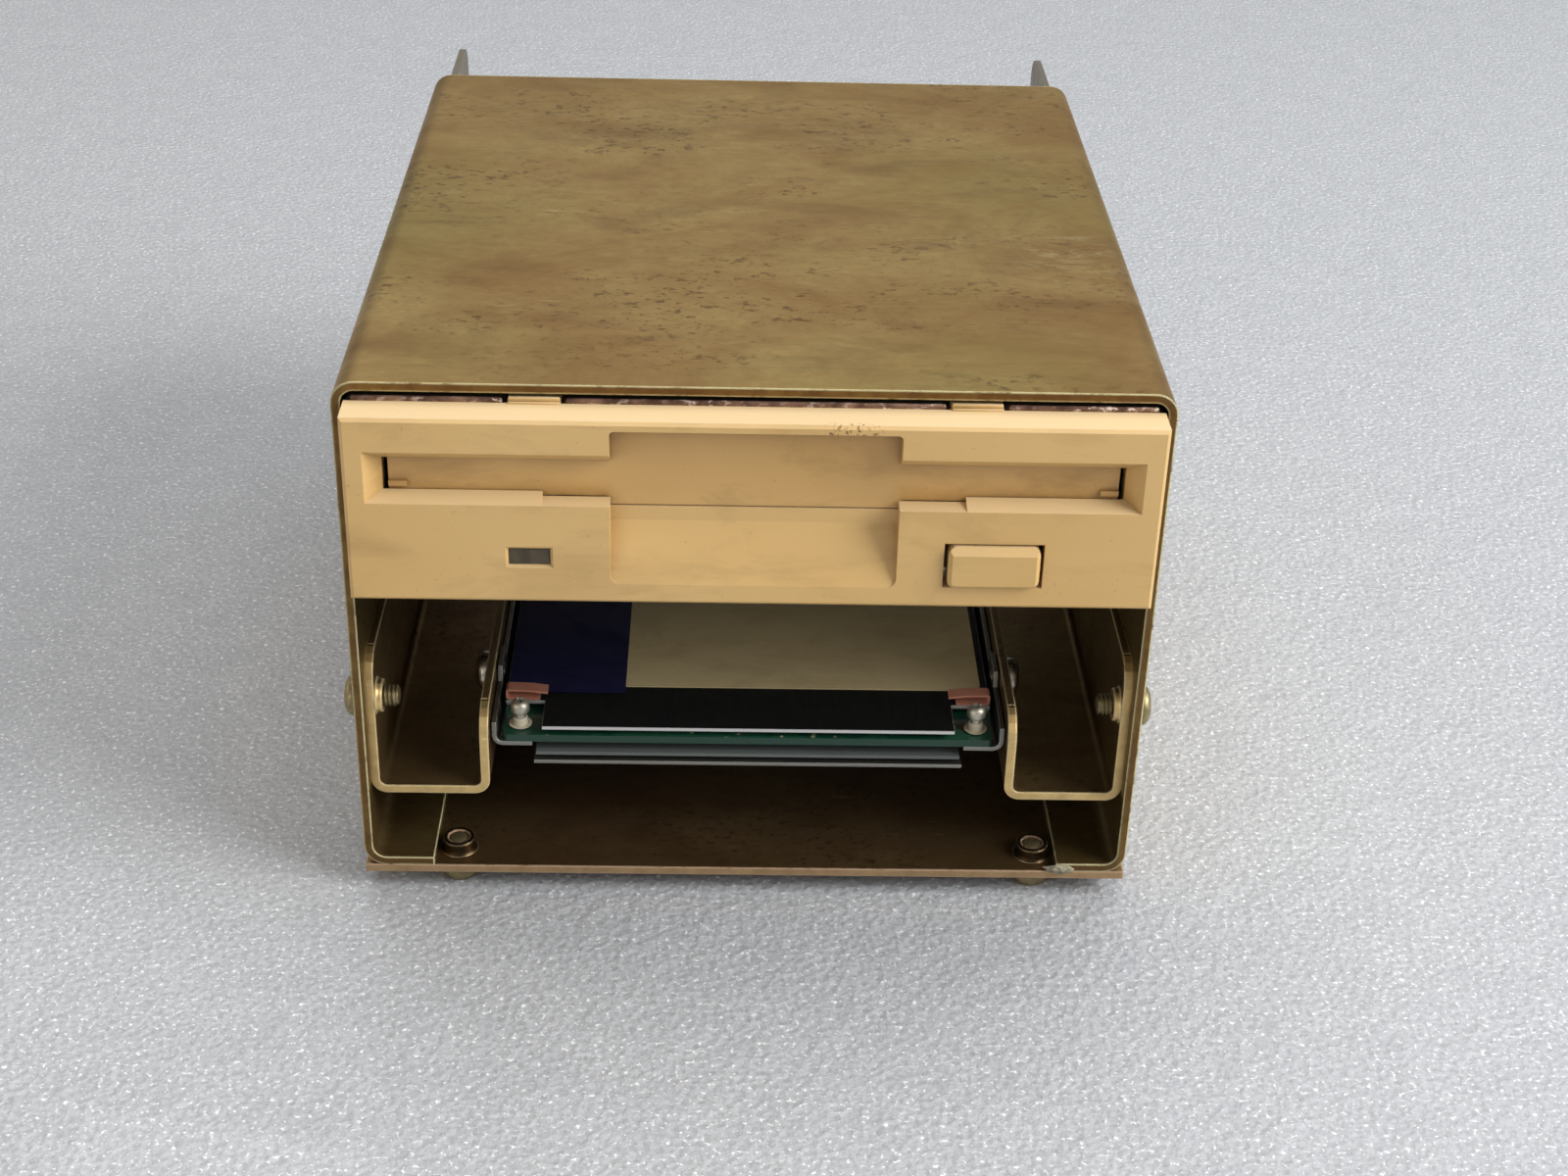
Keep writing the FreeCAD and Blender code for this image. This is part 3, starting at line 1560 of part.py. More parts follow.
def stator_coils():
    """Flat winding round each arm of the stator."""
    start = stator_hub_r + 1.2
    end = stator_outer() - 2.4
    coil = stator_arm(coil_t, start, end).cut(stator_arm(0, start - 1, end + 1))
    return group([turned(coil, 360.0 / stator_arms * i) for i in range(stator_arms)])


def spindle_rotor():
    """Shallow steel cup with the spindle's shaft in its middle."""
    low = rotor_low()
    rim = board_level() + 0.4
    bevel = rotor_plate * 0.7
    side = peg(0, hub_y, rim, Z_AXIS, rotor_r, low + rotor_plate - bevel - rim, rotor_sides)
    top = peg_cone(0, hub_y, low + rotor_plate - bevel, Z_AXIS, rotor_r, rotor_r - bevel, bevel, rotor_sides)
    cup = joined([side, top])
    cup = cup.cut(peg(0, hub_y, rim - 1, Z_AXIS, rotor_r - rotor_wall, low - rim + 1, rotor_sides))
    shaft_low = deck_low - 1.1
    shaft = rod(0, hub_y, shaft_low, Z_AXIS, shaft_r, low + rotor_plate - shaft_low)
    return joined([cup, shaft])


def rotor_magnet():
    """Ring magnet inside the rotor's rim."""
    outer = rotor_r - rotor_wall
    low = board_level() + 0.5
    ring = peg(0, hub_y, low, Z_AXIS, outer, rotor_low() - low, rotor_sides)
    return ring.cut(peg(0, hub_y, low - 1, Z_AXIS, outer - magnet_wall, 4.0, rotor_sides))


def spindle_hub():
    """Magnetic seat for the disk's steel hub, with the centring pin."""
    low = rotor_low() + rotor_plate
    bevel = 0.25
    seat = peg(0, hub_y, low, Z_AXIS, hub_r, hub_t - bevel, rotor_sides)
    top = peg_cone(0, hub_y, low + hub_t - bevel, Z_AXIS, hub_r, hub_r - bevel, bevel, rotor_sides)
    pin_top = loaded_mid + 0.1
    neck = peg(0, hub_y, low, Z_AXIS, hub_pin_r, pin_top - 0.5 - low, bearing_sides)
    tip = peg_cone(0, hub_y, pin_top - 0.5, Z_AXIS, hub_pin_r, hub_pin_r - 0.5, 0.5, bearing_sides)
    hole = peg(0, hub_y + drive_pin_at, low - 1, Z_AXIS, drive_pin_r + 0.1, hub_t + 2)
    return cut_out(joined([seat, top, neck, tip]), [hole])


def drive_pin():
    """Pin beside the hub that turns the disk."""
    low = rotor_low() + rotor_plate
    return peg(0, hub_y + drive_pin_at, low, Z_AXIS, drive_pin_r, loaded_mid - 0.4 - low)


# Heads and their drive


def arm_pivot():
    """Place and height of the hinge of the upper head's arm."""
    return head_y + arm_reach, drive_low + arm_pivot_h


def carriage_levels():
    """Lower and upper face of the head carriage's platform."""
    top = loaded_mid - disk_t / 2 - 0.55
    return top - 3.4, top


def running_bore(x, y, z, axis, radius, length):
    """Bore whose flats all clear a round shaft by the running play."""
    return peg(x, y, z, axis, (radius + rod_play) / math.cos(math.pi / 12), length)


def head_carriage():
    """Platform with a sleeve on the guide rod, a nut on the lead screw and ears for the upper arm."""
    low, top = carriage_levels()
    y = head_y
    pivot_y, pivot_z = arm_pivot()
    rear = pivot_y + 1.7
    ear_out = arm_w / 2 + 1.6
    left = -ear_out
    points = [
        (-5.5, y - 4.0), (5.5, y - 4.0), (ear_out, y + 1.5), (rod_x - 2.0, y + 3.0),
        (rod_x - 2.0, y + 18.0), (ear_out, y + 19.5), (left, y + 19.5), (left, y + 1.5),
    ]
    deck = prism(points, "xy", low, top)
    sleeve = peg(rod_x, y + 1.5, rod_axis(), Y_AXIS, 2 * rod_r, 18.0)
    nut_front = y + 9.5
    nut = block(screw_axis_x - 2.4, left + 1.0, nut_front, nut_front + 6.0, deck_top + 0.4, top + 0.4)
    side = [
        (y + 12.5, low), (rear, low), (rear, pivot_z + 1.7),
        (pivot_y - 1.7, pivot_z + 1.7), (y + 12.5, top),
    ]
    ear = prism(side, "yz", arm_w / 2, ear_out)
    wall = block(-arm_w / 2, arm_w / 2, y + 17.6, y + 19.5, low, pivot_z - 2.9)
    body = joined([deck, sleeve, nut, wall] + both_sides(ear))
    tools = [
        running_bore(rod_x, y - 5.0, rod_axis(), Y_AXIS, rod_r, 30.0),
        running_bore(screw_axis_x, y - 5.0, motor_axis(), Y_AXIS, lead_r, 30.0),
        running_bore(-ear_out - 1, pivot_y, pivot_z, X_AXIS, arm_pin_r, 2 * ear_out + 2),
        block(screw_axis_x - 0.5, screw_axis_x + 0.5, nut_front - 1, nut_front + 7.0, motor_axis(), top + 2),
        block(-5.0, 5.0, y + 5.0, y + 15.5, low - 1, top + 1),
    ]
    return cut_out(body, tools)


def head_block(low, high):
    """Small slider with cut corners between two levels, at the outermost track."""
    y = head_y
    x_far = head_w / 2
    x_near = x_far - 0.6
    y_far = head_l / 2
    y_near = y_far - 0.6
    points = [
        (-x_near, y - y_far), (x_near, y - y_far), (x_far, y - y_near), (x_far, y + y_near),
        (x_near, y + y_far), (-x_near, y + y_far), (-x_far, y + y_near), (-x_far, y - y_near),
    ]
    return prism(points, "xy", low, high)


def lower_head():
    """Lower head on its square mount on the platform."""
    top = carriage_levels()[1]
    y = head_y
    half = head_w / 2 + 1.2
    mount = block(-half, half, y - head_l / 2 - 0.7, y + head_l / 2 + 0.7, top, top + 0.4)
    return joined([mount, head_block(top, loaded_mid - 0.04)])


def raised(shape):
    """Piece of the upper arm turned from the disk up to where the arm waits without one."""
    pivot_y, pivot_z = arm_pivot()
    copy = shape.copy()
    copy.rotate(V(0, pivot_y, pivot_z), X_AXIS, -arm_angle)
    return copy


def upper_head_arm():
    """Arm over the disk with stiffening ribs, a lifting ear and a hinge barrel."""
    y = head_y
    pivot_y, pivot_z = arm_pivot()
    low = pivot_z - arm_t / 2
    high = low + arm_t
    half = arm_w / 2 - 0.15
    ear_front = y + 3.5
    points = [
        (-4.0, y - 5.0), (4.0, y - 5.0), (half, y + 1.0), (half, ear_front), (half + 4.6, ear_front),
        (half + 4.6, ear_front + 5.0), (half, ear_front + 5.0), (half, pivot_y),
        (-half, pivot_y), (-half, y + 1.0),
    ]
    plate = prism(points, "xy", low, high)
    rib_end = pivot_y - 2.0
    rib_top = high + 1.3
    rib_side = [(y + 6.0, high - 0.1), (rib_end, high - 0.1), (rib_end, rib_top), (y + 9.0, rib_top)]
    ribs = both_sides(prism(rib_side, "yz", half - 0.8, half))
    barrel = peg(-half, pivot_y, pivot_z, X_AXIS, 1.3, 2 * half)
    reach = arm_w / 2 + 1.6
    pins = rod(-reach, pivot_y, pivot_z, X_AXIS, arm_pin_r, 2 * reach)
    window = block(-4.0, 4.0, y + 5.0, pivot_y - 5.0, low - 1, high + 1)
    return raised(cut_out(joined([plate, barrel, pins] + ribs), [window]))


def upper_head():
    """Upper head under the front of its arm."""
    low = loaded_mid + 0.04
    return raised(head_block(low, arm_pivot()[1] - arm_t / 2))


def guide_rod():
    """Round rod that the carriage slides on."""
    length = motor_wall_y + frame_sheet - rod_front
    return rod(rod_x, rod_front, rod_axis(), Y_AXIS, rod_r, length)


def lead_bearing():
    """Flanged bush for the front end of the lead screw."""
    z = motor_axis()
    tab_rear = lead_front + 0.3 + frame_sheet
    body = peg(screw_axis_x, lead_front, z, Y_AXIS, bush_r, tab_rear - lead_front + 0.3)
    flange = peg(screw_axis_x, tab_rear, z, Y_AXIS, bush_r + 0.4, 0.35)
    bore = running_bore(screw_axis_x, lead_front - 1, z, Y_AXIS, lead_neck_r, 4.0)
    return cut_out(joined([body, flange]), [bore])


def lead_screw():
    """Shaft of the stepper motor with a thin neck in the front bush."""
    z = motor_axis()
    start = lead_front + 2.0
    shaft = rod(screw_axis_x, start, z, Y_AXIS, lead_r, motor_wall_y + 5.0 - start)
    neck = peg(screw_axis_x, lead_front + 0.2, z, Y_AXIS, lead_neck_r, 2.0)
    return joined([shaft, neck])


def stepper_motor():
    """Round can on an eared flange, with a front pilot and a rear boss."""
    z = motor_axis()
    front = motor_front
    flange = peg(screw_axis_x, front, z, Y_AXIS, motor_r, 1.0, motor_sides)
    rear = front + motor_length
    body_r = motor_r - 0.4
    bevel = 0.6
    can = peg(screw_axis_x, front + 1.0, z, Y_AXIS, body_r, motor_length - 1.0 - bevel, motor_sides)
    end = peg_cone(screw_axis_x, rear - bevel, z, Y_AXIS, body_r, body_r - bevel, bevel, motor_sides)
    ear_at = motor_screw_at()
    ear_r = 2.4
    bar = block(screw_axis_x - ear_at, screw_axis_x + ear_at, front, front + 1.0, z - ear_r, z + ear_r)
    ears = [peg(screw_axis_x + side * ear_at, front, z, Y_AXIS, ear_r, 1.0) for side in (-1, 1)]
    pilot = peg(screw_axis_x, front - 0.8, z, Y_AXIS, motor_pilot_r, 1.0)
    boss = peg(screw_axis_x, rear - 0.1, z, Y_AXIS, 3.4, 1.3)
    tools = [running_bore(screw_axis_x, front - 2, z, Y_AXIS, lead_r, 8.0)]
    top = z + motor_r - 0.4
    terminals = block(screw_axis_x - 4.5, screw_axis_x + 4.5, front + 4.0, front + 8.5, top - 1.5, top + 1.6)
    pins = []
    for i in range(4):
        x = screw_axis_x - 3.0 + 2.0 * i
        pins.append(block(x - 0.3, x + 0.3, front + 7.0, front + 7.6, top + 1.5, top + 3.0))
    return cut_out(joined([flange, can, end, bar, pilot, boss, terminals] + ears + pins), tools)


# Main board and connectors


def main_board():
    """Main circuit board under the deck, notched round the stepper motor."""
    low = drive_low + main_board_h
    half = main_board_w / 2
    wide = main_board_wide / 2
    points = [
        (-half, main_board_front), (half, main_board_front), (half, main_board_step), (wide, main_board_step),
        (wide, main_board_rear), (-wide, main_board_rear), (-wide, main_board_step), (-half, main_board_step),
    ]
    board = prism(points, "xy", low, board_top())
    room = motor_r + 0.8
    front = motor_wall_y - 0.8
    rear = motor_front + motor_length + 2.2
    notch = block(screw_axis_x - room, screw_axis_x + room, front, rear, low - 1, board_top() + 1)
    return cut_out(board, [notch])


def small_screws():
    """Heads of the small screws of both boards and of the stepper motor."""
    places = [(x, y, drive_low + main_board_h, Z_AXIS) for x, y in board_boss_places() + rear_lug_places()]
    places += [(x, y, board_level(), Z_AXIS * -1) for x, y in motor_board_screw_places()]
    flange_rear = motor_front + 1.0
    for side in (-1, 1):
        x = screw_axis_x + side * motor_screw_at()
        places.append((x, flange_rear, motor_axis(), Y_AXIS * -1))
    wide = head_r * small_screw
    high = head_h * small_screw
    return group([peg(x, y, z, axis * -1, wide, high, screw_sides) for x, y, z, axis in places])


def main_chips():
    """Flat chips on the main board."""
    z = board_top()
    high = z + chip_high
    side = chip_side
    behind = motor_front + rear_chip_step * rear_room
    chips = [
        block(-2 * side, -side, main_board_step / 2, main_board_step / 2 + side, z, high),
        block(side / 2, side * 1.8, main_board_step * 0.66, main_board_step * 0.66 + side, z, high),
        block(side / 4, side * 1.25, behind, behind + motor_length, z, high),
    ]
    left = 2 - main_board_wide / 2
    for row in range(2):
        y = behind + row * driver_step * rear_room
        rear = y + driver_fill * rear_room
        chips.append(block(left, left + driver_length, y, rear, z, z + 0.8 * chip_high))
    return group(chips)


def capacitors():
    """Round capacitors at the rear of the main board."""
    z = board_top()
    cans = []
    y = motor_front + can_step * rear_room
    for i in range(3):
        x = main_board_wide / 2 - can_pitch * (i + 1)
        can = peg(x, y, z, Z_AXIS, can_r, can_h - can_edge)
        top = peg_cone(x, y, z + can_h - can_edge, Z_AXIS, can_r, can_r - can_edge, can_edge)
        cans.append(joined([can, top]))
    return group(cans)


def status_lamp():
    """Lamp on the front of the main board, its round nose at the light pipe."""
    z = drive_low + lamp_low + lamp_h / 2
    front = main_board_front + 0.3
    body = block(lamp_x - 1.6, lamp_x + 1.6, front + 0.7, front + 3.0, board_top(), z + 1.2)
    nose = peg_cone(lamp_x, front, z, Y_AXIS, 0.7, 1.1, 0.7)
    return joined([body, nose])


def disk_sensors():
    """Two optical sensors in the front corners of the spindle motor's board."""
    z = board_level()
    high = z + sensor_h
    x = motor_board_w / 2 - sensor_w / 2 - 0.6
    y = motor_board_front + sensor_l / 2 + 1.0
    body = block(x - sensor_w / 2, x + sensor_w / 2, y - sensor_l / 2, y + sensor_l / 2, z, high)
    eye = sensor_w / 8
    eyes = [block(x + k * eye - eye, x + k * eye + eye, y - 1.0, y + 1.0, high, high + 0.3) for k in (-2, 2)]
    return group(both_sides(joined([body] + eyes)))


def data_half():
    """Half the width of the data connector."""
    return (data_pins - 1) * data_pitch / 2 + data_end


def data_connector():
    """Shrouded header, open to the rear, with a key slot in its upper wall."""
    low = board_top()
    high = low + data_h
    rear = drive_rear
    front = rear - data_depth
    half = data_half()
    body = block(data_x - half, data_x + half, front, rear, low, high)
    room = half - data_wall
    inside = front + data_floor
    tools = [
        block(data_x - room, data_x + room, inside, rear + 1, low + data_wall, high - data_wall),
        block(data_x - key_half, data_x + key_half, inside, rear + 1, high - data_wall - 1, high + 1),
    ]
    return cut_out(body, tools)


def data_pin_places():
    """Places across and heights of the data connector's pins, in two rows."""
    mid = board_top() + data_h / 2
    first = data_x - (data_pins - 1) * data_pitch / 2
    rows = (mid - data_pitch / 2, mid + data_pitch / 2)
    return [(first + data_pitch * i, z) for z in rows for i in range(data_pins)]


def connector_pins():
    """Square pins in both rear connectors."""
    places = [(x, z, drive_rear - data_depth + data_floor) for x, z in data_pin_places()]
    z = board_top() + power_h / 2
    places += [(x, z, drive_rear - power_depth + power_floor) for x in power_pin_places()]
    half = contact_side / 2
    end = drive_rear - pin_back
    return group([block(x - half, x + half, front, end, z - half, z + half) for x, z, front in places])


def power_half():
    """Half the width of the power connector."""
    return (power_pins - 1) * power_pitch / 2 + power_end


def power_connector():
    """Small power header with four pins, open to the rear and above."""
    low = board_top()
    high = low + power_h
    half = power_half()
    front = drive_rear - power_depth
    body = block(power_x - half, power_x + half, front, drive_rear, low, high)
    wall = data_wall
    inner = half - wall
    room = block(power_x - inner, power_x + inner, front + power_floor, drive_rear + 1, low + wall, high + 1)
    return cut_out(body, [room])


def power_pin_places():
    """Places of the power pins across the drive."""
    first = power_x - (power_pins - 1) * power_pitch / 2
    return [first + power_pitch * i for i in range(power_pins)]



# All pieces, each under its own name


def mirrored(shape):
    """The same piece on the other side of the object."""
    return shape.mirror(V(0, 0, 0), X_AXIS)


def all_pieces():
    """Every piece by name."""
    channel = right_channel()
    label_field, label_band = module_label_pieces()
    return {
        "cage_shell": cage_shell(),
        "base_plate": base_plate(),
        "foot_screws": foot_screws(),
        "channel_right": channel,
        "channel_left": mirrored(channel),
        "channel_screws": channel_screws(),
        "drive_mount_screws": drive_mount_screws(),
        "module_tray": module_tray(),
        "module_board": module_board(),
        "module_lid": module_lid(),
        "module_label": label_field,
        "module_label_band": label_band,
        "module_posts": module_posts(),
        "module_washers": module_washers(),
        "module_clips": module_clips(),
        "module_chips": module_chips(),
        "module_insulator": module_insulator(),
        "module_shield": module_shield(),
        "module_side_screws": module_side_screws(),
        "module_socket": module_socket(),
        "module_pins": module_pins(),
        "bezel": bezel(),
        "dust_door": dust_door(),
        "door_spring": door_spring(),
        "eject_button": eject_button(),
        "lamp_window": led_window(),
        "drive_frame": drive_frame(),
        "top_cover": top_cover(),
        "bottom_shield": bottom_shield(),
        "disk_holder": disk_holder(),
        "holder_pins": holder_pins(),
        "latch_lever": latch_lever(),
        "lever_pivot": lever_pivot(),
        "lever_spring": lever_spring(),
        "eject_slide": eject_slide(),
        "slide_rivets": slide_rivets(),
        "slide_springs": slide_springs(),
        "spindle_motor_board": spindle_motor_board(),
        "spindle_bearing": spindle_bearing(),
        "spindle_stator": spindle_stator(),
        "stator_coils": stator_coils(),
        "spindle_rotor": spindle_rotor(),
        "rotor_magnet": rotor_magnet(),
        "spindle_hub": spindle_hub(),
        "drive_pin": drive_pin(),
        "head_carriage": head_carriage(),
        "lower_head": lower_head(),
        "upper_head_arm": upper_head_arm(),
        "upper_head": upper_head(),
        "guide_rod": guide_rod(),
        "lead_screw": lead_screw(),
        "lead_bearing": lead_bearing(),
        "stepper_motor": stepper_motor(),
        "main_board": main_board(),
        "board_parts": group(main_chips().Solids + capacitors().Solids),
        "status_lamp": status_lamp(),
        "disk_sensors": disk_sensors(),
        "small_screws": small_screws(),
        "rear_connectors": group([data_connector(), power_connector()]),
        "connector_pins": connector_pins(),
    }


os.makedirs("parts", exist_ok=True)
for name, shape in all_pieces().items():
    shape.translate(V(0, -middle_y, 0))
    shape.exportStep("parts/" + name + ".step")
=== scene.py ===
import json
import math
import bmesh
import bpy
from mathutils import Matrix, Vector


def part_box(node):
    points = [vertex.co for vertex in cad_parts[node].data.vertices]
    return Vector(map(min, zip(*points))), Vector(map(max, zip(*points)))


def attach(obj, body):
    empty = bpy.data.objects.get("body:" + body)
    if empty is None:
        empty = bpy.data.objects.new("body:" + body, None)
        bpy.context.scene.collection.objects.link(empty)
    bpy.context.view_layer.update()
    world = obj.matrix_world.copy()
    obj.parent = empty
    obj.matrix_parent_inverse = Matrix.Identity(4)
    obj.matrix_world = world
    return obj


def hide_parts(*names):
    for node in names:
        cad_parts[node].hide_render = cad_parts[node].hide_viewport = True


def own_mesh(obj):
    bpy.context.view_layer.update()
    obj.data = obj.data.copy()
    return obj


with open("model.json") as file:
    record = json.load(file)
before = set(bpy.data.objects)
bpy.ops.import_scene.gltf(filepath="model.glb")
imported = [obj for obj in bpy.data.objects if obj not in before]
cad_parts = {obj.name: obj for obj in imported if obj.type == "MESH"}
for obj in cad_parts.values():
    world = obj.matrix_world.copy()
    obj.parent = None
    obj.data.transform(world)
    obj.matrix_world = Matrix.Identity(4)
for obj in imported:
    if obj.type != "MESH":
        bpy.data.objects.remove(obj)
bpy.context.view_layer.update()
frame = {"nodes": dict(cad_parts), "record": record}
nodes = frame["nodes"]

MM = 0.001
X = Vector((1, 0, 0))
Y = Vector((0, 1, 0))
Z = Vector((0, 0, 1))
CAGE_LOW, CAGE_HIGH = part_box("cage_shell")
CAGE_SHEET = 1.2 * MM
CAGE_INSIDE = CAGE_HIGH.x - CAGE_SHEET
PANEL_LOW, PANEL_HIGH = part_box("bezel")
LOOKS = {}


# Shader helper: sizes of patterns are in millimetres, colours as on screen from 0 to 255

def rgb(red, green, blue):
    """The linear values of a colour on screen."""
    parts = [c / 255 for c in (red, green, blue)]
    return tuple(c / 12.92 if c < 0.04 else ((c + 0.055) / 1.055) ** 2.4 for c in parts) + (1.0,)


def dimmed(tone, share):
    """A share of a colour's light."""
    return tuple(c * share for c in tone[:3]) + (1.0,)


class Shader:
    """A look and the nodes that feed it."""

    def __init__(self, name, base, roughness, metallic=0.0, **uniform):
        self.material = bpy.data.materials.new(name)
        self.material.use_nodes = True
        self.tree = self.material.node_tree
        self.surface = self.tree.nodes["Principled BSDF"]
        self.where = self.add("ShaderNodeTexCoord").outputs["Object"]
        self.set(Base_Color=base, Roughness=roughness, Metallic=metallic, **uniform)
        LOOKS[name] = self.material

    def add(self, kind, inputs=None, **settings):
        node = self.tree.nodes.new(kind)
        for key, value in settings.items():
            setattr(node, key, value)
        for key, value in (inputs or {}).items():
            self.feed(node.inputs[key], value)
        return node

    def feed(self, socket, value):
        if isinstance(value, bpy.types.NodeSocket):
            self.tree.links.new(value, socket)
        else:
            socket.default_value = value

    def set(self, **inputs):
        """Feeds inputs of the surface; an underscore stands for a space."""
        for key, value in inputs.items():
            self.feed(self.surface.inputs[key.replace("_", " ")], value)

    def spread(self, size, stretch=(1, 1, 1)):
        scale = [1 / (size * MM * s) for s in stretch]
        return self.add("ShaderNodeMapping", {"Vector": self.where, "Scale": scale}).outputs[0]

    def noise(self, size, detail=3.0, rough=0.5, stretch=(1, 1, 1), warp=0.0):
        inputs = {"Vector": self.spread(size, stretch), "Scale": 1.0, "Detail": detail, "Roughness": rough,
                  "Distortion": warp}
        return self.add("ShaderNodeTexNoise", inputs).outputs["Fac"]

    def cells(self, size):
        inputs = {"Vector": self.spread(size), "Scale": 1.0}
        return self.add("ShaderNodeTexVoronoi", inputs).outputs["Distance"]

    def range(self, value, low, high, to_low=0.0, to_high=1.0):
        """The value's way from low to high, held between the two results."""
        inputs = {"Value": value, "From Min": low, "From Max": high, "To Min": to_low, "To Max": to_high}
        return self.add("ShaderNodeMapRange", inputs).outputs["Result"]

    def calc(self, operation, a, b=0.0):
        return self.add("ShaderNodeMath", {0: a, 1: b}, operation=operation).outputs[0]

    def plus(self, a, b):
        return self.calc("ADD", a, b)

    def times(self, value, *others):
        for other in others:
            value = self.calc("MULTIPLY", value, other)
        return value

    def mix(self, part, a, b):
        node = self.add("ShaderNodeMix", data_type="RGBA")
        for index, value in ((0, part), (6, a), (7, b)):
            self.feed(node.inputs[index], value)
        return node.outputs[2]

    def at(self, axis):
        """Place along an axis of the object, in metres."""
        return self.add("ShaderNodeSeparateXYZ", {0: self.where}).outputs[axis]

    def facing(self, axis):
        """Part of the surface's direction that points along an axis of the object."""
        direction = self.add("ShaderNodeTexCoord").outputs["Normal"]
        return self.add("ShaderNodeSeparateXYZ", {0: direction}).outputs[axis]

    def bump(self, height, depth, strength=1.0, normal=None):
        inputs = {"Height": height, "Distance": depth * MM, "Strength": strength}
        if normal is not None:
            inputs["Normal"] = normal
        self.set(Normal=self.add("ShaderNodeBump", inputs).outputs["Normal"])

    def soft_edges(self, radius):
        return self.add("ShaderNodeBevel", {"Radius": radius * MM}, samples=4).outputs[0]

    def corners(self, reach, low, high):
        """1 in inner corners, 0 where nothing stands nearer than the reach."""
        shade = self.add("ShaderNodeAmbientOcclusion", {"Distance": reach * MM}, samples=6)
        return self.range(shade.outputs["AO"], high, low)

    def edge_share(self, rounded):
        """How far the rounded direction turns from the flat one: 1 along edges, 0 on flat faces."""
        flat = self.add("ShaderNodeNewGeometry").outputs["Normal"]
        same = self.add("ShaderNodeVectorMath", {0: rounded, 1: flat}, operation="DOT_PRODUCT")
        return self.range(self.calc("SUBTRACT", 1.0, same.outputs["Value"]), 0.01, 0.07)


# Finishes

def in_cage(s):
    """1 on surfaces inside the cage and below the drive, which the plating darkens as painted shade."""
    across = s.calc("ABSOLUTE", s.at(0))
    return s.times(s.range(across, CAGE_INSIDE + 0.1 * MM, CAGE_INSIDE),
                   s.range(s.at(2), PANEL_LOW.z, PANEL_LOW.z - 1 * MM))


def scratches(s, rub):
    """Long scratches in some places, with chafed marks round a point if one is given."""
    scratch = s.range(s.noise(1.3, stretch=(11, 1, 1), warp=1.6), 0.70, 0.74)
    marks = s.times(scratch, s.range(s.noise(22, 2), 0.52, 0.62))
    if rub is not None:
        away = s.add("ShaderNodeVectorMath", {0: s.where, 1: rub}, operation="DISTANCE").outputs["Value"]
        chafed = s.range(s.noise(3.2, 5, 0.75, stretch=(3.0, 0.9, 1), warp=1.2), 0.5, 0.62)
        marks = s.plus(marks, s.times(s.range(away, 11 * MM, 4 * MM), chafed))
    return marks


def cut_faces(s, cut_low, cut_at):
    """Patches of up to 1 on cut faces that look forwards, only on those at one depth if it is given."""
    faces = s.range(s.facing(1), cut_low, cut_low - 0.09)
    if cut_at is not None:
        faces = s.times(faces, s.range(s.at(1), cut_at + 0.1 * MM, cut_at + 0.05 * MM))
    return s.times(faces, s.range(s.noise(3, 4, 0.6), 0.25, 0.6, 0.55, 1.0))


def plating(name, light, dark, stain, green, cut, line, roughness, inside_shade=0.0, cut_low=-0.9, cut_at=None,
            grain=(30, 1, 1), rub=None):
    """Yellow chromate on zinc: blotches, stains, brushing, specks, scratches, another tone on cut faces, and
    edges brightened partly as wear, partly as a painted highlight.
    """
    metallic = 0.82
    s = Shader(name, light, roughness, metallic)
    blotch = s.range(s.noise(24, 6, 0.66, stretch=(1.5, 1, 1), warp=0.4), 0.36, 0.64, 0.12, 0.88)
    base = s.mix(blotch, dark, light)
    veil = s.range(s.noise(60), 0.42, 0.72)
    base = s.mix(s.times(veil, 0.55), base, green)
    streak = s.range(s.noise(15, 7, 0.72, stretch=(1.7, 1, 1), warp=0.5), 0.5, 0.72)
    base = s.mix(s.times(streak, 0.48), base, stain)
    brushed = s.noise(0.5, 3, 0.6, grain)
    base = s.mix(s.range(brushed, 0.3, 0.7, 0.0, 0.12), base, stain)
    mottle = s.range(s.noise(1.6, 5, 0.75, stretch=(1.3, 1, 1)), 0.35, 0.7, 0.0, 0.4)
    base = s.mix(mottle, base, dark)
    speck = s.range(s.noise(1.0, 4, 0.65, stretch=(1.4, 1, 1)), 0.55, 0.63)
    patch = s.range(s.noise(18, 4, 0.7, stretch=(2, 1, 1)), 0.46, 0.6)
    base = s.mix(s.times(speck, patch, 0.6), base, rgb(70, 46, 28))
    # Painted shade: surfaces inside the cage and below the drive are darkened towards a dark brown by the
    # given share.
    base = s.mix(s.times(in_cage(s), inside_shade), base, rgb(52, 38, 22))
    marks = scratches(s, rub)
    base = s.mix(s.times(marks, 0.45), base, rgb(205, 190, 145))
    # Cut faces take the cut tone; on the cage this dark tone is painted shade.
    base = s.mix(cut_faces(s, cut_low, cut_at), base, cut)
    rounded = s.soft_edges(0.4)
    # Edges take the bright line tone and lose most of their metallic look: partly edge wear, partly a painted
    # highlight along the rounded edges.
    worn_and_highlit = s.times(s.edge_share(rounded), s.range(s.noise(2.2, 5, 0.7), 0.34, 0.46, 0.25, 1.0))
    s.set(Base_Color=s.mix(worn_and_highlit, base, line))
    s.set(Metallic=s.range(worn_and_highlit, 0, 1, metallic, 0.05))
    s.set(Roughness=s.plus(s.range(blotch, 0, 1, 0.06, -0.04),
                           s.range(brushed, 0.2, 0.8, roughness - 0.06, roughness + 0.08)))
    height = s.plus(s.times(brushed, 0.5), s.times(s.noise(7), 1.2))
    s.bump(s.calc("SUBTRACT", height, s.times(marks, 0.5)), 0.05, 0.55, rounded)


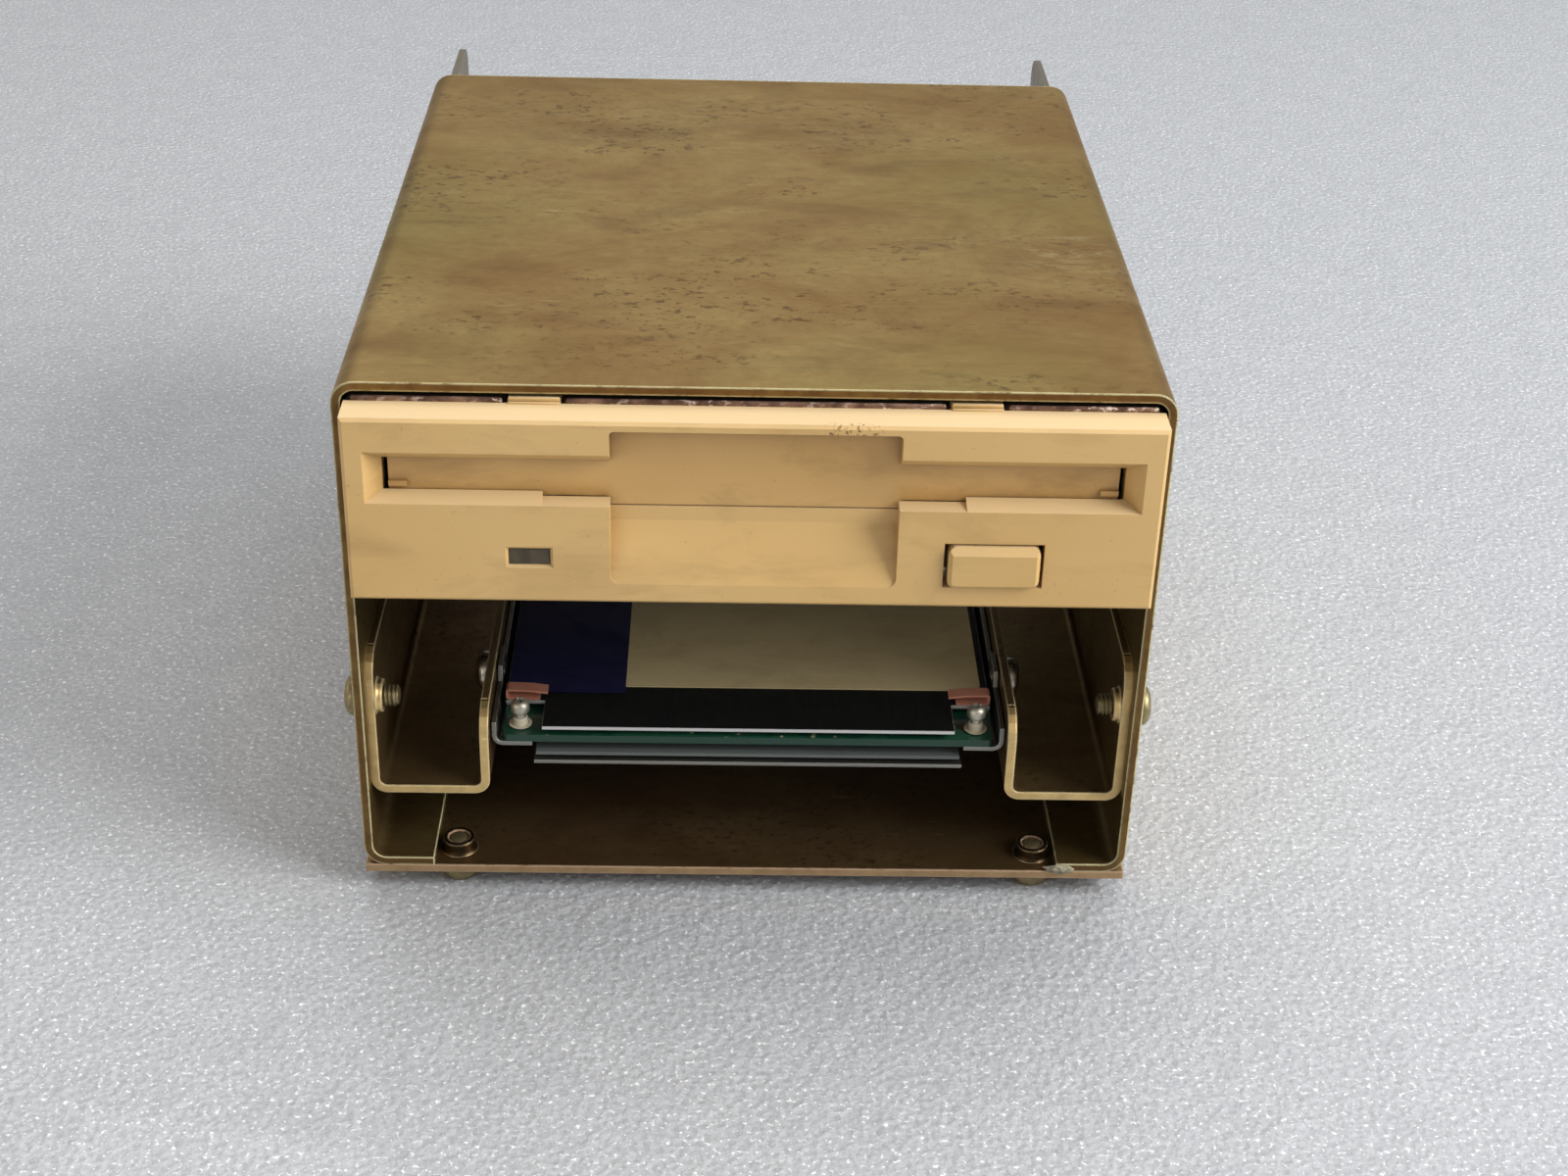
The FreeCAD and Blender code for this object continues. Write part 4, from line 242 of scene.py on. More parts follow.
def metal(name, base, roughness, metallic=0.95, grain=(1, 1, 1), dull=None, spots=0.25, line=None,
          cloud_size=6, cut=None):
    """Bare or thinly plated metal with fine drawn grain and dull spots, and if asked for a bright line along
    its edges and another tone on what looks forwards."""
    s = Shader(name, base, roughness, metallic)
    dull = dull or dimmed(base, 0.55)
    drawn = s.noise(0.35, 3, 0.6, grain)
    cloud = s.range(s.noise(cloud_size, 4, 0.6, warp=0.3), 0.42, 0.68)
    mixed = s.mix(s.times(cloud, spots), base, dull)
    mixed = s.mix(s.range(drawn, 0.3, 0.75, 0.0, 0.25), mixed, dull)
    rounded = s.soft_edges(0.08 if line is None else 0.14)
    # The bright line along the edges is a painted highlight, in part edge wear.
    if line is not None:
        mixed = s.mix(s.edge_share(rounded), mixed, line)
    if cut is not None:
        mixed = s.mix(s.range(s.facing(1), -0.8, -0.9), mixed, cut)
    s.set(Base_Color=mixed)
    s.set(Roughness=s.plus(s.range(drawn, 0.2, 0.8, roughness - 0.05, roughness + 0.08), s.times(cloud, 0.1)))
    s.bump(drawn, 0.012, 0.5, rounded)


def nicked(s, along, half, above, before):
    """Scrapes on a front edge: middle and half width across, and the height and depth that they begin at."""
    spot = s.range(s.calc("ABSOLUTE", s.calc("SUBTRACT", s.at(0), along)), half, half * 0.7)
    spot = s.times(spot, s.range(s.at(2), above, above + 0.6 * MM))
    spot = s.times(spot, s.range(s.at(1), before, before - 0.5 * MM))
    return s.times(spot, s.range(s.noise(0.45, 3, 0.6, stretch=(1.0, 1.6, 1.2)), 0.56, 0.62))


def plastic(name, base, shade, grime, roughness=0.5, grain=0.32, depth=0.02, dirt=0.35, dust_and_sheen=None,
            nicks=None, corner_shade=0.0):
    """Moulded plastic with fine spark-erosion texture, yellowing and grime; if asked, inner corners darkened
    as painted shade.
    """
    s = Shader(name, base, roughness, Specular_IOR_Level=0.6)
    aged = s.range(s.noise(30, stretch=(1.4, 1, 0.8)), 0.35, 0.7)
    mixed = s.mix(s.times(aged, 0.6), base, shade)
    smudge = s.range(s.noise(9, 5, 0.65, stretch=(2.6, 1, 0.8), warp=0.5), 0.5, 0.75)
    mixed = s.mix(s.times(smudge, dirt), mixed, grime)
    speck = s.range(s.noise(0.7, 2), 0.7, 0.76)
    mixed = s.mix(s.times(speck, 0.25), mixed, grime)
    if corner_shade > 0:
        # Painted shade: inner corners and recesses darkened towards the grime tone, in patches.
        patchy = s.range(s.noise(5, 4, 0.65, stretch=(1.6, 1, 1)), 0.3, 0.65, 0.35, 1.0)
        mixed = s.mix(s.times(s.corners(2.6, 0.4, 0.95), patchy, corner_shade), mixed, grime)
    # Upward faces turn paler: partly dust, partly a painted sheen from the light above.
    if dust_and_sheen is not None:
        mixed = s.mix(s.range(s.facing(2), 0.55, 1.0, 0.0, 0.7), mixed, dust_and_sheen)
    if nicks is not None:
        mixed = s.mix(s.times(nicked(s, *nicks), 0.85), mixed, rgb(120, 84, 46))
    s.set(Base_Color=mixed)
    s.set(Roughness=s.range(smudge, 0, 1, roughness, roughness + 0.12))
    s.bump(s.plus(s.noise(grain, 2), s.times(s.noise(16, 2), 1.5)), depth, 0.5, s.soft_edges(0.12))


def board(name, mask, copper, fleck):
    """Solder mask over fine copper tracks, with pads."""
    s = Shader(name, mask, 0.32, Coat_Weight=0.25)
    grid = {"Vector": s.spread(9), "Color1": (0, 0, 0, 1), "Color2": (0.25, 0.25, 0.25, 1),
            "Mortar": (1, 1, 1, 1), "Scale": 5.0, "Mortar Size": 0.03}
    tracks = s.add("ShaderNodeTexBrick", grid).outputs["Fac"]
    line = s.times(tracks, s.range(s.noise(5, 2), 0.45, 0.5))
    mixed = s.mix(s.times(line, 0.55), mask, copper)
    pad = s.range(s.cells(2.2), 0.16, 0.1)
    mixed = s.mix(s.times(pad, 0.6), mixed, fleck)
    level = s.calc("ABSOLUTE", s.facing(2))
    s.set(Base_Color=s.mix(s.range(level, 0.5, 0.2), mixed, dimmed(mask, 0.8)))
    s.set(Roughness=s.range(s.noise(3), 0.3, 0.7, 0.28, 0.42))
    s.bump(s.plus(s.times(line, 0.6), s.times(s.noise(0.4, 2), 0.5)), 0.03, 0.7)


def paper(name, base, stain, roughness=0.5):
    """Printed label stock, bare, with handling marks."""
    s = Shader(name, base, roughness)
    rub = s.range(s.noise(7, 5, 0.65, stretch=(1.6, 1, 1), warp=0.6), 0.48, 0.72)
    mixed = s.mix(s.times(rub, 0.35), base, stain)
    fibre = s.noise(0.25, 3, 0.6, stretch=(2, 1, 1))
    s.set(Base_Color=s.mix(s.range(fibre, 0.35, 0.75, 0, 0.15), mixed, stain))
    s.set(Roughness=s.range(rub, 0, 1, roughness, roughness + 0.2))
    s.bump(s.plus(fibre, s.times(s.noise(9, 2), 2.0)), 0.02, 0.5)


def windings(name, base, dark, pitch, axis):
    """Enamelled wire laid side by side round an axis."""
    s = Shader(name, base, 0.3, 0.75, Coat_Weight=0.4)
    inputs = {"Vector": s.spread(pitch), "Scale": 1.0, "Distortion": 0.4, "Detail": 1.0}
    wave = s.add("ShaderNodeTexWave", inputs, bands_direction=axis).outputs["Fac"]
    s.set(Base_Color=s.mix(s.range(wave, 0.2, 0.8), dark, base))
    s.set(Roughness=s.range(s.noise(1.5), 0.3, 0.7, 0.24, 0.4))
    s.bump(wave, 0.05, 0.8)


def soiled_rim():
    """Brown soiled edge of sheet steel with painted glints in bright flecks."""
    s = Shader("cover_rim", rgb(110, 80, 64), 0.42, 0.4)
    cloud = s.range(s.noise(3.5, 4, 0.65), 0.38, 0.64)
    mixed = s.mix(cloud, rgb(88, 62, 50), rgb(142, 110, 90))
    glint_flecks = s.range(s.noise(0.6, 3, 0.6, stretch=(1.8, 1, 1)), 0.54, 0.64)
    glint_patches = s.range(s.noise(10, 3, 0.6), 0.42, 0.6, 0.15, 1.0)
    # The bright flecks are painted glints.
    s.set(Base_Color=s.mix(s.times(glint_flecks, glint_patches), mixed, rgb(232, 210, 198)))
    s.set(Roughness=s.range(cloud, 0, 1, 0.3, 0.5))
    s.bump(s.noise(0.5, 3, 0.6), 0.04, 0.7, s.soft_edges(0.15))


def smoky_lens():
    """Smoky grey light pipe, a little see-through."""
    s = Shader("smoky_lens", rgb(110, 102, 88), 0.26, Transmission_Weight=0.35, IOR=1.49)
    haze = s.range(s.noise(1.6), 0.3, 0.7)
    s.set(Base_Color=s.mix(haze, rgb(104, 90, 66), rgb(74, 64, 46)))
    s.set(Roughness=s.range(haze, 0, 1, 0.2, 0.34))
    s.bump(s.noise(0.3, 2), 0.01, 0.4)


def floor_look():
    """White foam sheet with a fine bubbly skin and painted glints."""
    s = Shader("floor_foam", rgb(194, 198, 203), 0.5, Coat_Weight=0.25)
    bubbles = s.cells(1.3)
    grain = s.noise(0.8, 4, 0.65)
    tone = s.range(s.noise(7, 4, 0.6), 0.3, 0.7)
    mixed = s.mix(tone, rgb(190, 194, 199), rgb(202, 206, 211))
    mixed = s.mix(s.range(grain, 0.35, 0.62, 0.0, 0.75), mixed, rgb(166, 169, 173))
    # Near-white dots in the colour: painted glints.
    foam_glints = s.range(s.noise(0.7, 2), 0.61, 0.68)
    s.set(Base_Color=s.mix(foam_glints, mixed, rgb(244, 246, 250)))
    s.set(Roughness=s.range(grain, 0.3, 0.7, 0.26, 0.5))
    s.bump(s.plus(bubbles, grain), 0.26, 0.8)


# Places and tones that the looks below share, then one call for each look

# Pale tone for the panel's upward faces: dust and painted sheen.
PANEL_DUST_AND_SHEEN = rgb(236, 212, 168)
RUBBED_PLACE = (44 * MM, CAGE_LOW.y + 44 * MM, CAGE_HIGH.z)
PANEL_NICKS = (11.5 * MM, 4.2 * MM, PANEL_HIGH.z - 1.7 * MM, PANEL_LOW.y + 1.2 * MM)

# Cage: its dark brown cut tone is painted shade on the front cut edges, and its bright line is a painted
# highlight along the top bend, in part edge wear.
plating("cage_plating", light=rgb(198, 170, 108), dark=rgb(140, 108, 62), stain=rgb(98, 66, 38),
        green=rgb(150, 144, 76), cut=rgb(108, 80, 46), line=rgb(255, 246, 190), roughness=0.42, inside_shade=0.5,
        cut_at=CAGE_LOW.y, rub=RUBBED_PLACE)
plating("base_plating", light=rgb(176, 146, 102), dark=rgb(118, 88, 54), stain=rgb(96, 56, 36),
        green=rgb(128, 114, 74), cut=rgb(190, 158, 118), line=rgb(214, 180, 150), roughness=0.36, inside_shade=0.3,
        cut_at=CAGE_LOW.y)
plating("channel_plating", light=rgb(178, 152, 104), dark=rgb(120, 94, 60), stain=rgb(96, 60, 42),
        green=rgb(130, 122, 82), cut=rgb(232, 200, 138), line=rgb(248, 226, 170), roughness=0.34,
        cut_low=-0.2, grain=(1, 30, 1))
# A darker copy of the base plating for the drawn collars: painted shade, with a bright rim line as a painted
# highlight.
metal("collar_shaded_plating", rgb(66, 52, 34), roughness=0.34, metallic=0.9, line=rgb(190, 168, 130))
metal("weld_grey", rgb(176, 170, 148), roughness=0.62, metallic=0.6, dull=rgb(96, 88, 70), spots=0.6,
      cloud_size=0.6)
metal("yellow_zinc_screws", rgb(164, 150, 112), roughness=0.42, metallic=0.85, dull=rgb(90, 80, 58),
      spots=0.5, cloud_size=1.2)
metal("tray_steel", rgb(158, 158, 150), roughness=0.34, grain=(12, 1, 1), line=rgb(232, 226, 220))
metal("lid_steel", rgb(40, 42, 42), roughness=0.4, metallic=0.8, grain=(1, 14, 1), dull=rgb(20, 20, 22),
      line=rgb(235, 238, 240), cut=rgb(226, 226, 224))
metal("post_steel", rgb(206, 202, 186), roughness=0.4, metallic=0.9)
metal("copper_clips", rgb(250, 178, 150), roughness=0.36, metallic=0.6, grain=(10, 1, 1),
      dull=rgb(190, 104, 82))
metal("steel_screws", rgb(196, 194, 188), roughness=0.26, metallic=1.0)
metal("gold_pins", rgb(226, 196, 116), roughness=0.22, metallic=1.0, grain=(1, 8, 1))
metal("spring_steel", rgb(190, 188, 182), roughness=0.24, metallic=1.0)
metal("frame_steel", rgb(150, 144, 128), roughness=0.42, metallic=0.85, grain=(10, 1, 1),
      dull=rgb(108, 94, 72), spots=0.35)
metal("cover_steel", rgb(156, 148, 134), roughness=0.42, metallic=0.85, grain=(10, 1, 1),
      dull=rgb(108, 94, 74), spots=0.35)
metal("holder_steel", rgb(186, 184, 176), roughness=0.34, grain=(1, 10, 1), spots=0.15)
metal("bearing_brass", rgb(204, 170, 98), roughness=0.4, metallic=1.0)
metal("stator_iron", rgb(120, 122, 128), roughness=0.44, metallic=0.9)
metal("rotor_steel", rgb(204, 204, 202), roughness=0.28, metallic=1.0)
metal("magnet_dark", rgb(58, 56, 58), roughness=0.55, metallic=0.4)
metal("carriage_aluminium", rgb(196, 198, 200), roughness=0.42)
metal("rod_steel", rgb(224, 224, 222), roughness=0.12, metallic=1.0, grain=(1, 14, 1))
metal("motor_steel", rgb(180, 178, 172), roughness=0.34, grain=(8, 1, 1))
plastic("bezel_plastic", rgb(220, 183, 120), rgb(206, 166, 100), rgb(132, 94, 44), roughness=0.42, grain=0.35,
        depth=0.025, dirt=0.32, dust_and_sheen=PANEL_DUST_AND_SHEEN, nicks=PANEL_NICKS, corner_shade=0.6)
plastic("door_plastic", rgb(212, 172, 108), rgb(184, 142, 78), rgb(104, 72, 32), roughness=0.4, grain=0.4,
        dirt=0.45, corner_shade=0.7)
plastic("button_plastic", rgb(218, 182, 118), rgb(204, 164, 98), rgb(134, 98, 48), roughness=0.4, grain=0.35,
        dirt=0.2, dust_and_sheen=PANEL_DUST_AND_SHEEN, corner_shade=0.4)
plastic("lever_plastic", rgb(232, 230, 220), rgb(214, 210, 196), rgb(150, 140, 120), roughness=0.4)
plastic("washer_nylon", rgb(214, 206, 184), rgb(190, 178, 150), rgb(120, 100, 70))
plastic("insulator_grey", rgb(98, 104, 102), rgb(78, 84, 82), rgb(60, 60, 56))
plastic("black_chips", rgb(38, 38, 40), rgb(28, 28, 30), rgb(70, 66, 58), roughness=0.46, grain=0.2)
plastic("arm_plastic", rgb(56, 56, 58), rgb(42, 42, 44), rgb(80, 76, 70), roughness=0.48, grain=0.25)
plastic("head_ceramic", rgb(92, 84, 80), rgb(70, 64, 62), rgb(40, 38, 36), roughness=0.18, grain=0.1,
        depth=0.004)
plastic("lamp_green", rgb(120, 168, 96), rgb(96, 146, 78), rgb(60, 90, 50), roughness=0.25, grain=0.3,
        depth=0.005)
board("green_board", rgb(20, 66, 50), rgb(58, 128, 88), rgb(200, 190, 150))
board("motor_board_green", rgb(18, 74, 44), rgb(50, 122, 78), rgb(196, 190, 170))
paper("label_paper", rgb(214, 198, 152), rgb(158, 138, 98))
paper("label_blue", rgb(6, 10, 66), rgb(4, 6, 34), roughness=0.55)
windings("copper_wire", rgb(196, 104, 52), rgb(96, 42, 20), pitch=0.3, axis="Y")
smoky_lens()
soiled_rim()

SLOT_OF = {part["node"]: part["material_slot"] for part in frame["record"]["subparts"]}
for name, node in nodes.items():
    node.data.materials.clear()
    node.data.materials.append(LOOKS[SLOT_OF[name]])


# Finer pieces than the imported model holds, placed by the solids of its nodes. Lengths are in metres.

def islands(name):
    """Corners of each separate solid of a node."""
    mesh = bmesh.new()
    mesh.from_mesh(nodes[name].data)
    bmesh.ops.remove_doubles(mesh, verts=mesh.verts, dist=1e-6)
    mesh.verts.ensure_lookup_table()
    seen = set()
    found = []
    for start in mesh.verts:
        if start.index in seen:
            continue
        seen.add(start.index)
        stack = [start]
        corners = []
        while stack:
            vert = stack.pop()
            corners.append(vert.co.copy())
            for edge in vert.link_edges:
                other = edge.other_vert(vert)
                if other.index not in seen:
                    seen.add(other.index)
                    stack.append(other)
        found.append(corners)
    mesh.free()
    return found


def corner_box(corners):
    """Lowest corner, highest corner and middle."""
    low = Vector([min(c[i] for c in corners) for i in range(3)])
    high = Vector([max(c[i] for c in corners) for i in range(3)])
    return low, high, (low + high) / 2


def boxes(name):
    """Box of each separate solid of a node."""
    return [corner_box(corners) for corners in islands(name)]


def facing_way(axis, origin=(0, 0, 0), turn=0.0):
    """Place whose Z points along an axis."""
    spin = Z.rotation_difference(Vector(axis)).to_matrix().to_4x4()
    return Matrix.Translation(Vector(origin)) @ spin @ Matrix.Rotation(turn, 4, "Z")


class Solid:
    """Corners and faces gathered from several parts."""

    def __init__(self, corners=(), faces=()):
        self.corners = []
        self.faces = []
        self.add((corners, faces))

    def add(self, part, place=None):
        corners, faces = (part.corners, part.faces) if isinstance(part, Solid) else part
        first = len(self.corners)
        self.corners += [place @ Vector(c) if place else Vector(c) for c in corners]
        self.faces += [[first + i for i in face] for face in faces]
        return self

    def mesh(self, name, sharp=35):
        mesh = bpy.data.meshes.new(name)
        mesh.from_pydata(self.corners, [], self.faces)
        work = bmesh.new()
        work.from_mesh(mesh)
        bmesh.ops.recalc_face_normals(work, faces=work.faces)
        work.to_mesh(mesh)
        work.free()
        mesh.shade_smooth()
        mesh.set_sharp_from_angle(angle=math.radians(sharp))
        return mesh

    def show(self, name, body, slot, sharp=35, look=None):
        """Shows the piece moving with a body, in the look of its slot or in another one."""
        thing = bpy.data.objects.new(name, self.mesh(name, sharp))
        thing.data.materials.append(LOOKS[look or slot])
        bpy.context.scene.collection.objects.link(thing)
        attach(thing, body)
        return thing

    def place(self, name, body, node, sharp=35):
        """Shows the piece in the finish of the node that it stands for."""
        thing = self.show(name, body, SLOT_OF[node], sharp)
        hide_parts(node)
        return thing


def turned(profile, sides=32):
    """Surface turned about Z from radii and heights; a radius of zero closes an end."""
    corners = []
    faces = []
    rings = []
    for radius, height in profile:
        count = sides if radius > 1e-7 else 1
        rings.append([len(corners) + i for i in range(count)])
        for i in range(count):
            turn = 2 * math.pi * i / sides
            corners.append((radius * math.cos(turn), radius * math.sin(turn), height))
    for low, high in zip(rings, rings[1:]):
        for i in range(sides):
            j = (i + 1) % sides
            ring = [low[i % len(low)], low[j % len(low)], high[j % len(high)], high[i % len(high)]]
            face = [corner for k, corner in enumerate(ring) if corner not in ring[:k]]
            if len(face) > 2:
                faces.append(face)
    return corners, faces


def rod(radius, low, high, sides=32):
    """Round bar along Z between two heights."""
    return turned([(0, low), (radius, low), (radius, high), (0, high)], sides)


def dome(wide, narrow, low, high, steps=6):
    """Radii and heights of a domed top between a rim and a flat crown."""
    profile = []
    for k in range(steps + 1):
        angle = math.radians(90.0 * k / steps)
        profile.append((narrow + (wide - narrow) * math.cos(angle), low + (high - low) * math.sin(angle)))
    return profile


def helix_surface(core, outer, pitch, low, high, shape, sides=24):
    """Helical ridge about Z; the shape gives shares of the pitch and of the ridge's height."""
    rows = len(shape)
    turns = math.ceil((high - low) / pitch) + 2
    run_out = 0.4 * pitch
    corners = []
    for turn in range(turns):
        for share, lift in shape:
            for i in range(sides):
                height = low + pitch * (turn - 1 + share + i / sides)
                inside = min(max(height, low), high)
                fade = min(1.0, (inside - low) / run_out, (high - inside) / run_out)
                reach = core + (outer - core) * lift * fade
                angle = 2 * math.pi * i / sides
                corners.append((reach * math.cos(angle), reach * math.sin(angle), inside))
    faces = []
    total = turns * rows
    for row in range(total - 1):
        for i in range(sides):
            step = 0 if i + 1 < sides else rows
            if row + 1 + step >= total:
                continue
            beside = (i + 1) % sides
            quad = [row * sides + i, (row + step) * sides + beside, (row + 1 + step) * sides + beside,
                    (row + 1) * sides + i]
            heights = [corners[c][2] for c in quad]
            if max(heights) - min(heights) > 1e-9:
                faces.append(quad)
    return corners, faces


def tube(points, radius, sides=8):
    """Round wire along points, closed at both ends."""
    last = len(points) - 1
    ways = [(points[min(i + 1, last)] - points[max(i - 1, 0)]).normalized() for i in range(last + 1)]
    side = ways[0].orthogonal().normalized()
    corners = []
    for point, way in zip(points, ways):
        side = (side - way * side.dot(way)).normalized()
        up = way.cross(side)
        for k in range(sides):
            angle = 2 * math.pi * k / sides
            corners.append(point + (side * math.cos(angle) + up * math.sin(angle)) * radius)
    faces = [list(range(sides)), list(range(last * sides, (last + 1) * sides))]
    for i in range(last):
        for k in range(sides):
            j = (k + 1) % sides
            faces.append([i * sides + k, i * sides + j, (i + 1) * sides + j, (i + 1) * sides + k])
    return corners, faces


def straight_wire(start, end, radius, sides):
    """Round wire between two points."""
    return tube([start, (start + end) / 2, end], radius, sides)


def eased_box(low, high, ease):
    """Block between two corners with rounded edges."""
    low, high = Vector(low), Vector(high)
    work = bmesh.new()
    bmesh.ops.create_cube(work, size=1.0)
    for vert in work.verts:
        vert.co = Vector([(low[i] + high[i]) / 2 + vert.co[i] * (high[i] - low[i]) for i in range(3)])
    bmesh.ops.bevel(work, geom=list(work.edges), offset=ease, segments=2, profile=0.5, affect="EDGES")
    work.verts.index_update()
    result = Solid([v.co.copy() for v in work.verts], [[v.index for v in face.verts] for face in work.faces])
    work.free()
    return result


def carved(body, cutters):
    """A solid less its cutters."""
    things = []
    for part in [body] + cutters:
        thing = bpy.data.objects.new("carve", part.mesh("carve"))
        bpy.context.scene.collection.objects.link(thing)
        things.append(thing)
    for cutter in things[1:]:
        cut = things[0].modifiers.new("cut", "BOOLEAN")
        cut.operation = "DIFFERENCE"
        cut.solver = "EXACT"
        cut.object = cutter
    bpy.context.view_layer.update()
    whole = things[0].evaluated_get(bpy.context.evaluated_depsgraph_get())
    mesh = bpy.data.meshes.new_from_object(whole)
    result = Solid([v.co.copy() for v in mesh.vertices], [tuple(p.vertices) for p in mesh.polygons])
    for thing in things:
        bpy.data.objects.remove(thing)
    return result


def wedge(length, width, top, bottom):
    """Cutter for one arm pair of a cross recess, narrower at its bottom."""
    corners = []
    narrow = 0.35
    for height, share in ((bottom, narrow), (top, 1.0)):
        for x, y in ((-1, -1), (1, -1), (1, 1), (-1, 1)):
            corners.append((x * length / 2 * share, y * width / 2 * (0.6 + 0.4 * share), height))
    faces = [(0, 3, 2, 1), (4, 5, 6, 7)] + [(i, (i + 1) % 4, 4 + (i + 1) % 4, 4 + i) for i in range(4)]
    return Solid(corners, faces)


def cross_recess(wide, top, deep):
    """Two crossed cutters for a driver."""
    first = wedge(wide * 1.15, wide * 0.2, top + 0.1 * deep, top - deep)
    second = Solid().add(first, Matrix.Rotation(math.radians(90), 4, "Z"))
    return [first, second]


def screw(wide, shank, high, length, pitch, crown=0.42, side=0.38):
    """Pan-head screw: its seat lies at zero, its head above and its threaded shank below."""
    profile = [(0, 0), (shank * 0.9, 0), (wide * 0.97, 0), (wide, high * 0.06)]
    profile += dome(wide, wide * crown, high * side, high) + [(0, high)]
    whole = carved(Solid(*turned(profile)), cross_recess(wide, high, high * 0.55))
    core = shank * 0.83
    tip = 0.12 * shank
    whole.add(turned([(core, 0), (core, tip - length), (core - 2 * tip, -length), (0, -length)], 24))
    thread = [(0.0, 0.0), (0.38, 1.0), (0.5, 1.0), (0.88, 0.0)]
    return whole.add(helix_surface(core, shank, pitch, tip - length, 0.0, thread))


def screw_frame(corners):
    """Axis towards the head, seat, head radius and height, and shank radius and length of a packed screw."""
    low, high, centre = corner_box(corners)
    size = high - low
    spare = [abs(size[(i + 1) % 3] - size[(i + 2) % 3]) for i in range(3)]
    axis = spare.index(min(spare))
    across = []
    for corner in corners:
        offset = corner - centre
        along = offset[axis]
        offset[axis] = 0
        across.append((offset.length, along))
    wide = max(reach for reach, along in across)
    rim = [along for reach, along in across if reach > wide * 0.97]
    sign = 1 if sum(rim) > 0 else -1
    seat = min(along * sign for along in rim)
    top = size[axis] / 2
    shank = max(reach for reach, along in across if along * sign < seat - 1e-5)
    way = Vector([sign if i == axis else 0 for i in range(3)])
    return way, centre + way * seat, wide, top - seat, shank, seat + top


def head_frame(corners):
    """The same for a packed head without a shank; its shank goes a little way into the board."""
    low, high, centre = corner_box(corners)
    size = high - low
    axis = 1 if size.y < size.z else 2
    below = high.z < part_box("main_board")[0].z + 0.1 * MM
    way = Y if axis == 1 else -Z if below else Z
    wide = size.x / 2 / math.cos(math.pi / 8)
    return way, centre - way * size[axis] / 2, wide, size[axis], wide * 0.5, 0.9 * MM


def fit_screws(name, pitch=0.55 * MM, read=screw_frame, **head):
    """Detailed screws in the places of a node's solids; equal ones are made once."""
    first_turn, next_turn = 17, 41
    made = {}
    whole = Solid()
    for number, corners in enumerate(islands(name)):
        way, seat, *sizes = read(corners)
        wide, high, shank, length = sizes
        key = tuple(round(size / MM, 2) for size in sizes)
        if key not in made:
            made[key] = screw(wide, shank, high, length, pitch, **head)
        whole.add(made[key], facing_way(way, seat, math.radians(first_turn + next_turn * number)))
    whole.place(name + "_fine", "housing", name)


def module_corner_posts():
    """Domed heads with a driver's recess on narrow necks."""
    whole = Solid()
    for number, (low, high, middle) in enumerate(boxes("module_posts")):
        tall = high.z - low.z
        wide = (high.x - low.x) / 2 / math.cos(math.pi / 8)
        neck = 0.62 * wide
        profile = [(0, 0), (neck, 0), (neck, 0.24 * tall), (0.95 * wide, 0.36 * tall), (wide, 0.42 * tall)]
        profile += dome(wide, wide * 0.3, 0.62 * tall, tall) + [(0, tall)]
        post = carved(Solid(*turned(profile)), cross_recess(wide * 0.95, tall, tall * 0.3))
        whole.add(post, facing_way(Z, (middle.x, middle.y, low.z), math.radians(30 + 35 * number)))
    whole.place("module_posts_fine", "housing", "module_posts")


def module_corner_washers():
    """Dished nylon washers, each with a low sleeve."""
    whole = Solid()
    for low, high, middle in boxes("module_washers"):
        wide = (high.x - low.x) / 2
        tall = high.z - low.z
        sleeve = 0.62 * wide
        profile = [(0, 0), (0.8 * wide, 0), (wide, 0.16 * tall), (wide, 0.26 * tall),
                   (0.82 * wide, 0.16 * tall), (sleeve, 0.14 * tall), (sleeve, 0.96 * tall),
                   (sleeve * 0.92, tall), (0, tall)]
        whole.add(turned(profile), facing_way(Z, (middle.x, middle.y, low.z)))
    whole.place("module_washers_fine", "housing", "module_washers", sharp=50)


def rounded_path(path, bend, steps=5):
    """The path with its corners eased into curves."""
    line = [path[0]]
    for before, corner, after in zip(path, path[1:], path[2:]):
        start = corner + (before - corner).normalized() * bend
        end = corner + (after - corner).normalized() * bend
        for k in range(steps + 1):
            t = k / steps
            line.append(start * (1 - t) ** 2 + corner * 2 * t * (1 - t) + end * t * t)
    return line + [path[-1]]


def folded_leaf(path, sheet, depth):
    """Thin strip along a path in XZ with rounded folds, from zero to a depth along Y."""
    line = rounded_path(path, 0.35 * MM)
    corners = []
    last = len(line) - 1
    for i, point in enumerate(line):
        way = (line[min(i + 1, last)] - line[max(i - 1, 0)]).normalized()
        side = Vector((-way.z, 0, way.x)) * sheet / 2
        for offset in (side, -side):
            corners += [point + offset, point + offset + Y * depth]
    faces = [[0, 1, 3, 2], [4 * last, 4 * last + 1, 4 * last + 3, 4 * last + 2]]
    for i in range(last):
        a, b = 4 * i, 4 * (i + 1)
        faces += [[a, a + 1, b + 1, b], [a + 2, a + 3, b + 3, b + 2], [a, a + 2, b + 2, b],
                  [a + 1, a + 3, b + 3, b + 1]]
    return corners, faces


